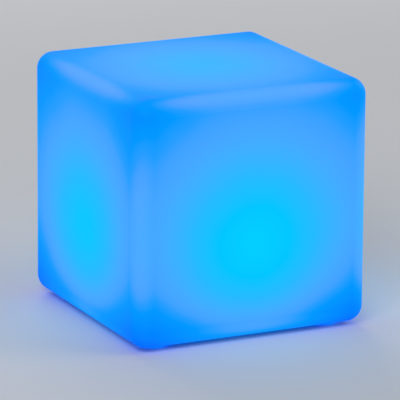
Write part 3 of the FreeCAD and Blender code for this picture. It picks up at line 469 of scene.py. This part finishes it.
def board_material(name, lacquer, over_copper, scale):
    """Lacquer of one colour, and of a lighter one over the copper tracks."""
    made = plain_material(name, lacquer, 0.35, 0.0, 80, 0.06, 2600, 0.08, STRETCH_NONE)
    tree = made.node_tree
    bricks = {"Vector": on_piece(tree), "Scale": scale, "Mortar Size": TRACK_WIDTH}
    tracks = add_node(tree, "ShaderNodeTexBrick", bricks, offset=TRACK_SHIFT).outputs["Fac"]
    colours = {"Factor": tracks, "A": (*lacquer, 1.0), "B": (*over_copper, 1.0)}
    mixed = add_node(tree, "ShaderNodeMix", colours, data_type="RGBA").outputs["Result"]
    join(tree, mixed, tree.nodes["Grain"].inputs["Color"])
    return made


FINISHES["board_green"] = board_material("board_green", (0.012, 0.10, 0.035), (0.05, 0.24, 0.09), 220)
FINISHES["board_white"] = board_material("board_white", (0.74, 0.75, 0.75), (0.86, 0.86, 0.84), 120)
print("two board finishes")

# %% [markdown]
# ## What gives light, and what lets it through
#
# The LEDs, the dome over them and the little charging lamp give light, and the light pipe carries
# it. A lamp in each of them would light them truly, but no picture looks inside. Their light is an
# emission colour instead, which varies over the surface: the dome is brightest above the LEDs and
# fades towards its rim, and the LEDs in the middle of the board are a little brighter than the rest.

# %% Lit materials
LED_MIDDLE = (0.0, 0.0, 55 * MM)

# slot: colour, light next to the LEDs, light at the reach, reach, roughness
LIT = {
    "dome_plastic": ((0.45, 0.60, 0.80), (0.10, 0.45, 0.95), (0.02, 0.20, 0.70), 75 * MM, 0.55),
    "led_light": ((0.75, 0.78, 0.70), (0.25, 0.60, 1.0), (0.10, 0.40, 1.0), 50 * MM, 0.25),
    "light_pipe": ((0.78, 0.80, 0.82), (0.0, 0.0, 0.0), (0.02, 0.02, 0.03), 50 * MM, 0.12),
    "lamp_red": ((0.60, 0.10, 0.07), (0.02, 0.0, 0.0), (0.02, 0.0, 0.0), 50 * MM, 0.22),
}


def lit_material(name, colour, inner, outer, reach, roughness):
    """A surface that glows: inner is its light's colour at the LEDs, outer at reach from them."""
    made = plain_material(name, colour, roughness, 0.0, 120, 0.05, 2200, 0.10, STRETCH_NONE)
    tree = made.node_tree
    away = vector_sums(tree, "LENGTH", vector_sums(tree, "SUBTRACT", on_piece(tree), LED_MIDDLE))
    fade = map_range(tree, away, 0.0, reach, soft=True)
    shader = tree.nodes["Principled BSDF"].inputs
    join(tree, ramp(tree, fade, ((0.0, inner), (1.0, outer))), shader["Emission Color"])
    shader["Emission Strength"].default_value = 1.0
    return made


for slot, values in LIT.items():
    FINISHES[slot] = lit_material(slot, *values)
print(f"{len(LIT)} lit finishes")

# %% [markdown]
# ## Battery cells
#
# A round cell is a steel can in a printed shrink wrap that curls over both ends, with a pale ring at
# the positive end. Wrap and ring could be thin tubes round the cell. They are only a change of
# colour, so a ramp along the cell gives them: the cells lie along X, and the distance from the
# middle along X tells wrap from ring and from bare can.

# %% Cell material
CELL_HALF = 32.5 * MM
CAN = (0.55, 0.56, 0.58)
WRAP = (0.03, 0.26, 0.34)
RING = (0.72, 0.74, 0.74)
CELL_BANDS = ((0.0, CAN), (0.015, WRAP), (0.93, RING), (0.955, WRAP), (0.985, CAN))


def cell_material():
    """The shrink wrap of a cell, with its ring and the bare can at both ends."""
    made = plain_material("cell_wrap", WRAP, 0.26, 0.0, 90, 0.08, 1800, 0.08, STRETCH_NONE)
    tree = made.node_tree
    along = map_range(tree, split(tree, on_piece(tree))["X"], -CELL_HALF, CELL_HALF)
    colour = ramp(tree, along, CELL_BANDS, "CONSTANT")
    join(tree, colour, tree.nodes["Grain"].inputs["Color"])
    return made


FINISHES["cell_wrap"] = cell_material()
print(f"{len(FINISHES)} finishes in all")

# %% [markdown]
# ## Dressing the CAD pieces
#
# The record that comes with the CAD model names a finish for each piece. A line per piece would
# work too, but a loop over the record forgets none of them.

# %% Give every CAD piece its finish
for entry in frame["record"]["subparts"]:
    piece = nodes[entry["node"]]
    piece.data.materials.clear()
    piece.data.materials.append(FINISHES[entry["material_slot"]])

# %% [markdown]
# ## Modelling by hand
#
# New pieces start from a primitive at its size and place. Before each one everything is
# deselected, because an operator acts on all that is selected. When a piece is done, its place is
# applied to its mesh, so its object sits at the origin like a CAD piece's. A mesh could also be
# written down point by point, but the operators show how a piece comes to its shape.

# %% Helpers for every piece
SMOOTH_ANGLE = math.radians(40)


def start_clean():
    """Leaves edit mode and deselects everything."""
    if bpy.context.mode != "OBJECT":
        bpy.ops.object.mode_set(mode="OBJECT")
    bpy.ops.object.select_all(action="DESELECT")


def pick(piece):
    """Selects one piece alone and makes it the active one."""
    start_clean()
    piece.select_set(True)
    bpy.context.view_layer.objects.active = piece


def settle(name, scale=(1.0, 1.0, 1.0)):
    """Names and scales the new primitive, and puts its place and size into its mesh."""
    piece = bpy.context.object
    piece.name = name
    piece.scale = scale
    bpy.ops.object.transform_apply(location=True, rotation=True, scale=True)
    return piece


def soften(piece, width, segments=3):
    """Bevels every sharp edge, and shades the piece smooth between the flats."""
    pick(piece)
    bevel = piece.modifiers.new("soft_edges", "BEVEL")
    bevel.width = width
    bevel.segments = segments
    bevel.limit_method = "ANGLE"
    bpy.ops.object.modifier_apply(modifier=bevel.name)
    bpy.ops.object.shade_smooth_by_angle(angle=SMOOTH_ANGLE)
    return piece


def dress(piece, slot, body):
    """The finish of a new piece's slot, and its body."""
    piece.data.materials.clear()
    piece.data.materials.append(FINISHES[slot])
    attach(piece, body)
    return piece


print("helpers for every piece ready")

# %% Helpers for shapes
RING_STEPS = 72
WIRE_STEPS = 12
DOME_STEPS = 24
DOME_RINGS = 12
CORNER_STEPS = 8
FRAME_SOFTNESS = 0.3


def add_block(name, size, place):
    """A box with its place and size already in its mesh."""
    start_clean()
    bpy.ops.mesh.primitive_cube_add(size=1.0, location=place)
    return settle(name, size)


def add_ring(name, place, radius, wire, height):
    """A ring in relief: a torus pressed flat, so that it stands its height out of the surface."""
    start_clean()
    bpy.ops.mesh.primitive_torus_add(
        location=place,
        major_radius=radius,
        minor_radius=wire,
        major_segments=RING_STEPS,
        minor_segments=WIRE_STEPS,
    )
    ring = settle(name, (1.0, 1.0, height / wire))
    bpy.ops.object.shade_smooth()
    return ring


def add_low_dome(name, place, radius, height):
    """A sphere pressed to its height, such as the drop of gel on an LED."""
    start_clean()
    bpy.ops.mesh.primitive_uv_sphere_add(
        segments=DOME_STEPS, ring_count=DOME_RINGS, radius=radius, location=place
    )
    dome = settle(name, (1.0, 1.0, height / radius))
    bpy.ops.object.shade_smooth()
    return dome


def pull_down(height):
    """Pulls a flat sheet in edit mode down by its height, and turns its faces outwards."""
    bpy.ops.mesh.select_all(action="SELECT")
    bpy.ops.mesh.extrude_region_move(TRANSFORM_OT_translate={"value": (0.0, 0.0, -height)})
    bpy.ops.mesh.select_all(action="SELECT")
    bpy.ops.mesh.normals_make_consistent(inside=False)
    bpy.ops.object.mode_set(mode="OBJECT")


def add_frame(name, place, width, depth, corner, rim, height):
    """A raised frame with rounded corners: a plate, its corners rounded, its middle taken out."""
    start_clean()
    bpy.ops.mesh.primitive_plane_add(size=1.0, location=place)
    made = settle(name, (width, depth, 1.0))
    bpy.ops.object.mode_set(mode="EDIT")
    bpy.ops.mesh.select_all(action="SELECT")
    bpy.ops.mesh.bevel(offset=corner, segments=CORNER_STEPS, affect="VERTICES")
    bpy.ops.mesh.select_all(action="SELECT")
    bpy.ops.mesh.inset(thickness=rim)
    bpy.ops.mesh.delete(type="FACE")
    pull_down(height)
    return soften(made, FRAME_SOFTNESS * height, 2)


print("helpers for shapes ready")


# %% Helpers for what repeats
def copies_at(piece, shifts):
    """The piece and its copies, each moved by one of the shifts."""
    made = [piece]
    for shift in shifts:
        pick(piece)
        bpy.ops.object.duplicate()
        bpy.ops.transform.translate(value=shift)
        bpy.ops.object.transform_apply(location=True, rotation=False, scale=False)
        made.append(bpy.context.object)
    return made


def merge(name, pieces):
    """Joins pieces into one mesh."""
    start_clean()
    for piece in pieces:
        piece.select_set(True)
    bpy.context.view_layer.objects.active = pieces[0]
    bpy.ops.object.join()
    bpy.context.object.name = name
    return bpy.context.object


def on_circle(count, radius, first=0.0):
    """Places spread evenly on a circle round the middle."""
    turns = [first + 2 * math.pi * step / count for step in range(count)]
    return [Vector((radius * math.cos(turn), radius * math.sin(turn), 0.0)) for turn in turns]


print("helpers for what repeats ready")

# %% [markdown]
# ## The web that bends
#
# The charging jack has a rubber cover on a strap. Near its fixed end the strap thins to a web, and
# that web is what bends when the cover is pulled open. In CAD it's a plain block, which could only
# turn as a whole. Here it gets the thinned waist of the real one and enough cuts along its length
# to bend smoothly.

# %% Strap web
WEB_CUTS = 15
WAIST = 0.25
low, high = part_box("cover_web")
middle = (low + high) / 2
size = high - low
web = add_block("strap_web", size, middle)
bpy.ops.object.mode_set(mode="EDIT")
bpy.ops.mesh.select_all(action="SELECT")
bpy.ops.mesh.subdivide(number_cuts=WEB_CUTS)
bpy.ops.object.mode_set(mode="OBJECT")
for vertex in web.data.vertices:
    along = 2 * (vertex.co.x - middle.x) / size.x
    thinner = 1 - WAIST * (1 - along * along)
    vertex.co.z = middle.z + (vertex.co.z - middle.z) * thinner
bpy.ops.object.shade_smooth_by_angle(angle=SMOOTH_ANGLE)
web.data.materials.clear()
web.data.materials.append(FINISHES["cover_rubber"])
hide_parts("cover_web")
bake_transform(web)
print(f"{web.name}: {len(web.data.polygons)} faces, waist {size.z * (1 - WAIST) / MM:.2f} mm")

# %% [markdown]
# ## The rubber cover
#
# A fingertip pulls the cover open by its tab, and small ribs across the tab keep it from slipping.
# They could be one comb-like block, but a rib is easier to round by itself, so one is modelled and
# copied. A raised ring stiffens the cover's round face, and a smaller one marks the pad where the
# strap is pinned to the module. Each ring is a torus pressed flat, because that has soft flanks.

# %% Ribs of the tab
RIBS = 3
RIB_SIZE = (0.6 * MM, 4.6 * MM, 0.5 * MM)
RIB_SPACING = 1.1 * MM
RIB_FROM_END = 1.2 * MM
RIB_LEVEL = 0.4 * MM
cover_low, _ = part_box("jack_cover")
rib_place = (cover_low.x + RIB_FROM_END, middle.y, cover_low.z + RIB_LEVEL)
rib = soften(add_block("tab_ribs", RIB_SIZE, rib_place), width=0.2 * MM)
ribs = copies_at(rib, [(RIB_SPACING * step, 0.0, 0.0) for step in range(1, RIBS)])
dress(merge("tab_ribs", ribs), "cover_rubber", "cover")
print(f"{len(ribs)} ribs")

# %% Rings of the cover and its strap
PIN_FROM_END = 3.8 * MM
jack_low, jack_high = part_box("charge_jack")
jack = (jack_low + jack_high) / 2
face_place = (jack.x, jack.y, cover_low.z)
face_ring = add_ring("cover_ring", face_place, radius=6.6 * MM, wire=0.4 * MM, height=0.25 * MM)
dress(face_ring, "cover_rubber", "cover")
anchor_low, anchor_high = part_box("cover_anchor")
pad_place = (anchor_high.x - PIN_FROM_END, (anchor_low.y + anchor_high.y) / 2, anchor_low.z)
pad_ring = add_ring("anchor_ring", pad_place, radius=2.5 * MM, wire=0.3 * MM, height=0.2 * MM)
dress(pad_ring, "cover_rubber", "cube")
print("two rings")

# %% [markdown]
# ## The mark on the button
#
# The button has the usual mark for on and off, moulded in relief: a ring with a gap at the top and
# a short bar in the gap. An arc could be drawn as a curve and given a thickness. A ring is quicker:
# it starts whole, its vertices in the gap are deleted, and the two open ends are closed.

# %% Mark on the button
MARK_RADIUS = 3.2 * MM
GAP = math.radians(32)
BAR_SIZE = (0.9 * MM, 3.4 * MM, 0.5 * MM)
BAR_OUT = 0.85 * MARK_RADIUS
button_low, button_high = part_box("power_button")
button = (button_low + button_high) / 2
button_face = Vector((button.x, button.y, button_low.z))
mark = add_ring("power_mark", button_face, radius=MARK_RADIUS, wire=0.45 * MM, height=0.25 * MM)
bpy.ops.object.mode_set(mode="EDIT")
bpy.ops.mesh.select_mode(type="VERT")
bpy.ops.mesh.select_all(action="DESELECT")
bpy.ops.object.mode_set(mode="OBJECT")
for vertex in mark.data.vertices:
    out = vertex.co - button_face
    vertex.select = abs(math.atan2(out.x, out.y)) < GAP
bpy.ops.object.mode_set(mode="EDIT")
bpy.ops.mesh.delete(type="VERT")
bpy.ops.mesh.select_all(action="SELECT")
bpy.ops.mesh.fill_holes(sides=0)
bpy.ops.object.mode_set(mode="OBJECT")
bar_place = button_face + Vector((0.0, BAR_OUT, 0.0))
bar = soften(add_block("power_bar", BAR_SIZE, bar_place), width=0.15 * MM)
rim = add_ring("button_rim", button_face, radius=7.2 * MM, wire=0.35 * MM, height=0.2 * MM)
mark = dress(merge("power_mark", [mark, bar, rim]), "button_plastic", "button")
print(f"{mark.name}: {len(mark.data.polygons)} faces")

# %% [markdown]
# ## Relief on the module's flange
#
# A moulded flange is seldom bare. Rings stiffen its edge and the seat of each screw, a frame sets
# the controls apart, and a plain label has its own frame. All of it could be bump in the material,
# but it stands a third of a millimetre proud and catches the light from the side, so it's geometry.

# %% Rings of the flange
flange_low, flange_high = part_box("module_base")
FLANGE = flange_low.z
FLANGE_RADIUS = flange_high.x
EDGE_RING = FLANGE_RADIUS - 1.5 * MM
INNER_RING = 73 * MM
SCREWS = 6
SCREW_CIRCLE = 82 * MM
SEAT_RADIUS = 5.3 * MM
RELIEF = 0.35 * MM
flange_middle = Vector((0.0, 0.0, FLANGE))
rings = [
    add_ring("edge_ring", flange_middle, EDGE_RING, wire=0.8 * MM, height=RELIEF),
    add_ring("inner_ring", flange_middle, INNER_RING, wire=0.6 * MM, height=RELIEF),
]
for place in on_circle(SCREWS, SCREW_CIRCLE):
    rings.append(add_ring("screw_seat", flange_middle + place, SEAT_RADIUS, wire=0.5 * MM, height=RELIEF))
dress(merge("flange_rings", rings), "housing_plastic", "cube")
print(f"{len(rings)} rings")

# %% Frames and the label
CONTROLS_X = 9 * MM
LABEL_PLACE = Vector((0.0, 26 * MM, FLANGE))
LABEL_FRAME = (52 * MM, 24 * MM)
LABEL_MARGIN = 2.5 * MM
LABEL_THICKNESS = 0.3 * MM
controls = Vector((CONTROLS_X, button.y, FLANGE))
frames = [
    add_frame("control_frame", controls, 84 * MM, 27 * MM, corner=9 * MM, rim=0.9 * MM, height=RELIEF),
    add_frame("label_frame", LABEL_PLACE, *LABEL_FRAME, corner=3 * MM, rim=0.8 * MM, height=RELIEF),
]
dress(merge("flange_frames", frames), "housing_plastic", "cube")
label_size = [side - 2 * LABEL_MARGIN for side in LABEL_FRAME]
label = add_block("label", (*label_size, LABEL_THICKNESS), LABEL_PLACE)
dress(soften(label, width=0.1 * MM), "clamp_steel", "cube")
print(f"{len(frames)} frames and a label")

# %% [markdown]
# ## The gasket's edge
#
# A rubber gasket lies between the flange and the cube. Its edge is seen as a thin line round the
# flange. In CAD it's a flat ring with a square edge, as a gasket is before it is pressed. Under
# pressure its edge bulges, and a pressed torus round it gives that bulge without a change of the
# gasket itself.

# %% Bead of the gasket
BEAD_OUT = 0.1 * MM
gasket_low, gasket_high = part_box("flange_gasket")
bead_place = (0.0, 0.0, (gasket_low.z + gasket_high.z) / 2)
bead_radius = gasket_high.x + BEAD_OUT
bead = add_ring("gasket_bead", bead_place, bead_radius, wire=0.85 * MM, height=0.8 * MM)
dress(bead, "seal_rubber", "cube")
print(f"bead of {bead_radius / MM:.1f} mm radius")

# %% [markdown]
# ## Marks and the date clock
#
# Small dark marks say what the controls are: a bolt for charging next to the lamp, and a ring with
# a pin between two bars for the jack. A moulder's date clock, a ring of twelve dots with a hand, is
# next to the label. Text would say more, but a mark needs no language. The bolt starts as a circle
# of six vertices that are moved to its corners. The rest is rings, low domes and bars.

# %% Marks
BOLT = ((0.3, 1.0), (-0.7, -0.15), (-0.05, -0.15), (-0.3, -1.0), (0.7, 0.15), (0.05, 0.15))
BOLT_SIZE = 2.8 * MM
MARKS_Y = button.y + 19 * MM
lamp_low, lamp_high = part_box("lamp_lens")
bolt_place = ((lamp_low.x + lamp_high.x) / 2, MARKS_Y, FLANGE)
start_clean()
bpy.ops.mesh.primitive_circle_add(vertices=len(BOLT), fill_type="NGON", location=bolt_place)
for vertex, (across, up) in zip(bpy.context.object.data.vertices, BOLT):
    vertex.co = (across * BOLT_SIZE, up * BOLT_SIZE, 0.0)
bolt = settle("bolt")
bpy.ops.object.mode_set(mode="EDIT")
pull_down(RELIEF)
soften(bolt, width=0.1 * MM, segments=2)

PIN_BAR = (2.2 * MM, 0.5 * MM, 2 * RELIEF)
PIN_BAR_OUT = 3.4 * MM
pin_place = Vector((jack.x, MARKS_Y, FLANGE))
pin_mark = [
    add_ring("pin_ring", pin_place, radius=1.9 * MM, wire=0.3 * MM, height=RELIEF),
    add_low_dome("pin_dot", pin_place, radius=0.75 * MM, height=RELIEF),
]
for side in (-1, 1):
    bar_place = pin_place + Vector((side * PIN_BAR_OUT, 0.0, 0.0))
    pin_mark.append(soften(add_block("pin_bar", PIN_BAR, bar_place), width=0.12 * MM))
marks = dress(merge("printed_marks", [bolt, *pin_mark]), "plunger_plastic", "cube")
print(f"{marks.name}: {len(marks.data.polygons)} faces")

# %% Date clock
MONTHS = 12
CLOCK_PLACE = Vector((46 * MM, 26 * MM, FLANGE))
HAND_SIZE = (0.5 * MM, 4.2 * MM, 0.4 * MM)
clock = [add_ring("clock_ring", CLOCK_PLACE, radius=4.6 * MM, wire=0.25 * MM, height=0.25 * MM)]
for place in on_circle(MONTHS, 3.7 * MM):
    clock.append(add_low_dome("clock_dot", CLOCK_PLACE + place, radius=0.28 * MM, height=0.2 * MM))
clock.append(soften(add_block("clock_hand", HAND_SIZE, CLOCK_PLACE), width=0.1 * MM))
dress(merge("date_clock", clock), "housing_plastic", "cube")
print(f"a clock of {len(clock)} pieces")

# %% [markdown]
# ## Small things on the LED board
#
# Each LED package carries a drop of clear gel and stands on two metal feet. There are eighteen, so
# one drop and one pair of feet are modelled on the first package and copied to the others. The
# drop is a sphere pressed to a low dome, the foot a softened block.

# %% Details of the LEDs
INNER_LEDS = on_circle(6, 20 * MM)
OUTER_LEDS = on_circle(12, 42 * MM, math.radians(15))
FOOT_SIZE = (3.2 * MM, 0.9 * MM, 0.5 * MM)
FOOT_OUT = 2.6 * MM
led_low, led_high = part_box("led_packages")
first, *others = INNER_LEDS + OUTER_LEDS
shifts = [place - first for place in others]
gel_place = first + Vector((0.0, 0.0, led_high.z))
gel = add_low_dome("led_gel", gel_place, radius=1.8 * MM, height=0.5 * MM)
gels = copies_at(gel, shifts)
dress(merge("led_gel", gels), "led_light", "cube")
foot_lift = led_low.z + FOOT_SIZE[2] / 2
feet = []
for side in (-1, 1):
    foot_place = first + Vector((0.0, side * FOOT_OUT, foot_lift))
    foot = soften(add_block("led_foot", FOOT_SIZE, foot_place), width=0.12 * MM)
    feet += copies_at(foot, shifts)
dress(merge("led_feet", feet), "contact_nickel", "cube")
print(f"{len(gels)} LEDs with {len(feet)} feet")

# %% [markdown]
# ## Small things on the control board
#
# The chip has a row of legs on two sides, the capacitors have a cross on their tops, and the coils
# have windings. CAD leaves them as plain blocks and cans, because nothing is mounted on these
# details. They could be painted on, but they stand up from the board and catch the light, so they
# are meshes. One leg, one cross and one coil are modelled and copied.

# %% Chip legs and capacitor tops
LEGS = 8
LEG_SIZE = (1.4 * MM, 0.45 * MM, 0.5 * MM)
LEG_SPACING = 1.1 * MM
LEG_LIFT = 0.3 * MM
CHIP_X = -4 * MM
LEG_OUT = 5.6 * MM
CAN_SPACING = 8 * MM
CAN_STEPS = (1, 2)
CROSS_BARS = ((3.4 * MM, 0.4 * MM, 0.2 * MM), (0.4 * MM, 3.4 * MM, 0.2 * MM))
parts_low, parts_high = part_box("board_parts")
BOARD = parts_low.z
legs = []
for side in (-1, 1):
    leg_y = button.y - LEG_SPACING * (LEGS - 1) / 2
    leg_place = (CHIP_X + side * LEG_OUT, leg_y, BOARD + LEG_LIFT)
    leg = soften(add_block("chip_leg", LEG_SIZE, leg_place), width=0.12 * MM)
    legs += copies_at(leg, [(0.0, LEG_SPACING * step, 0.0) for step in range(1, LEGS)])
can_top = (-22 * MM, button.y - 11 * MM, parts_high.z)
crosses = []
for bar_size in CROSS_BARS:
    bar = soften(add_block("can_cross", bar_size, can_top), width=0.06 * MM)
    crosses += copies_at(bar, [(CAN_SPACING * step, 0.0, 0.0) for step in CAN_STEPS])
dress(merge("board_metal", legs + crosses), "contact_nickel", "cube")
print(f"{len(legs)} legs, {len(crosses)} bars on the capacitors")

# %% Windings of the coils
COIL_SPACING = 12 * MM
COIL_HEIGHT = 4 * MM
coil_top = (-20 * MM, button.y + 10 * MM, BOARD + COIL_HEIGHT)
outer_turn = add_ring("coil_winding", coil_top, radius=2.7 * MM, wire=0.6 * MM, height=0.4 * MM)
inner_turn = add_ring("coil_turn", coil_top, radius=1.5 * MM, wire=0.5 * MM, height=0.3 * MM)
coil = merge("coil_windings", [outer_turn, inner_turn])
coils = copies_at(coil, [(COIL_SPACING, 0.0, 0.0)])
dress(merge("coil_windings", coils), "insert_brass", "cube")
print(f"{len(coils)} coils")

# %% [markdown]
# ## Weld spots
#
# Nickel strips join the cells, and each end of a cell is welded to its strip in two spots. A spot
# could be a dark dot in the material, but a real one stands a little proud. So it's a small sphere
# that is sunk halfway into the strip.

# %% Weld spots
SPOT_OUT = 2 * MM
links_low, links_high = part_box("cell_links")
cells_low, cells_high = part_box("battery_cells")
cell_level = (cells_low.z + cells_high.z) / 2
CELL_RADIUS = (cells_high.z - cells_low.z) / 2
spots = []
for end_x in (links_low.x, links_high.x):
    for cell_y in (cells_low.y + CELL_RADIUS, cells_high.y - CELL_RADIUS):
        for side in (-1, 1):
            spot_place = (end_x, cell_y + side * SPOT_OUT, cell_level)
            spots.append(add_low_dome("weld_spot", spot_place, radius=0.5 * MM, height=0.5 * MM))
dress(merge("weld_spots", spots), "contact_nickel", "cube")
print(f"{len(spots)} weld spots")

# %% [markdown]
# ## Studio
#
# The cube stands on a plain pale floor under a pale sky, which only the camera and the reflections
# see at full strength. Large soft lamps light it from the front left, the front right and behind,
# and a weaker one from below. One strong lamp would be simpler, but its light would hide the glow.
# The light is kept at a level where a colour comes out about as it is written, so the glow is
# judged as it is.

# %% Sky
SKY_COLOUR = (0.66, 0.68, 0.71, 1.0)
SKY_LIGHT = 0.35
sky = bpy.data.worlds.new("studio_sky")
bpy.context.scene.world = sky
sky.use_nodes = True
sky_tree = sky.node_tree
rays = add_node(sky_tree, "ShaderNodeLightPath").outputs
shown = sums(sky_tree, "MAXIMUM", rays["Is Camera Ray"], rays["Is Transmission Ray"])
shown = sums(sky_tree, "MAXIMUM", shown, rays["Is Glossy Ray"])
strength = sums(sky_tree, "MULTIPLY_ADD", shown, 1.0 - SKY_LIGHT, SKY_LIGHT)
backdrop = sky_tree.nodes["Background"].inputs
backdrop["Color"].default_value = SKY_COLOUR
join(sky_tree, strength, backdrop["Strength"])
print("sky made")

# %% [markdown]
# The floor could be a sheet that curves up behind the cube, but that looks wrong from other sides.
# A flat disc has the sky's colour and turns clear a few metres out, so that it runs into the sky
# without a line at any camera height. It shows from above only: from below, the camera looks
# through it at the underside of the cube. It also lets the light of the low lamp through, which
# shows the module in its well and can't reach the upper side of the floor.

# %% Floor
FLOOR_COLOUR = (0.84, 0.85, 0.87, 1.0)
FLOOR_RADIUS = 6.0
FLOOR_FULL = 1.6
FLOOR_GONE = 4.5
start_clean()
bpy.ops.mesh.primitive_circle_add(vertices=96, radius=FLOOR_RADIUS, fill_type="NGON")
floor = bpy.context.object
floor.name = "studio_floor"
floor_finish = bpy.data.materials.new("studio_floor")
floor_finish.use_nodes = True
floor_tree = floor_finish.node_tree
floor_shader = floor_tree.nodes["Principled BSDF"].inputs
floor_shader["Base Color"].default_value = FLOOR_COLOUR
floor_shader["Roughness"].default_value = 0.8
floor_shader["Specular IOR Level"].default_value = 0.1
out_from_cube = vector_sums(floor_tree, "LENGTH", on_piece(floor_tree))
solid = map_range(floor_tree, out_from_cube, FLOOR_FULL, FLOOR_GONE, low=1.0, high=0.0, soft=True)
behind = add_node(floor_tree, "ShaderNodeNewGeometry").outputs["Backfacing"]
seen = sums(floor_tree, "MULTIPLY", solid, sums(floor_tree, "SUBTRACT", 1.0, behind))
join(floor_tree, seen, floor_shader["Alpha"])
floor.data.materials.append(floor_finish)
floor.visible_shadow = False
print("floor laid")

# %% Lamps
LAMP_AIM = Vector((0.0, 0.0, 0.2))

# name: place in metres, width in metres, power in watts
LAMPS = {
    "key_light": ((-3.0, -3.6, 3.6), 3.0, 95.0),
    "fill_light": ((3.8, -2.4, 2.6), 3.0, 45.0),
    "back_light": ((0.5, 4.2, 3.4), 3.0, 55.0),
    "low_light": ((-1.0, -2.0, -3.0), 2.5, 40.0),
}
for name, (place, width, power) in LAMPS.items():
    lamp_data = bpy.data.lights.new(name, "AREA")
    lamp_data.shape = "SQUARE"
    lamp_data.size = width
    lamp_data.energy = power
    lamp = bpy.data.objects.new(name, lamp_data)
    bpy.context.scene.collection.objects.link(lamp)
    lamp.location = place
    lamp.rotation_euler = (LAMP_AIM - Vector(place)).to_track_quat("-Z", "Y").to_euler()
print(f"{len(LAMPS)} lamps")

# %% [markdown]
# ## Camera
#
# The photograph was taken from a good way off with a long lens, a little above the cube and to the
# left of its wide face. The camera could be aimed by eye. Its place, tilt and lens were worked out
# from the cube's edges instead, so that the picture can be laid over the photograph.

# %% Camera
CAMERA_PLACE = (-2.6318, -5.4111, 1.8111)
TURN_LEFT = math.radians(-25.96)
LOOK_DOWN = math.radians(15.177)
ROLL = math.radians(0.423)
FOCAL_PIXELS = 3936.0
IMAGE_SIDE = 400
SENSOR_WIDTH = 36.0
camera_data = bpy.data.cameras.new("camera")
camera_data.sensor_width = SENSOR_WIDTH
camera_data.lens = FOCAL_PIXELS / IMAGE_SIDE * SENSOR_WIDTH
camera = bpy.data.objects.new("camera", camera_data)
bpy.context.scene.collection.objects.link(camera)
turn = Euler((math.pi / 2 - LOOK_DOWN, 0.0, TURN_LEFT)).to_matrix().to_4x4()
camera.matrix_world = Matrix.Translation(CAMERA_PLACE) @ turn @ Matrix.Rotation(ROLL, 4, "Z")
bpy.context.scene.camera = camera
bpy.context.scene.view_settings.view_transform = "Standard"
print(f"lens {camera_data.lens:.1f} mm")
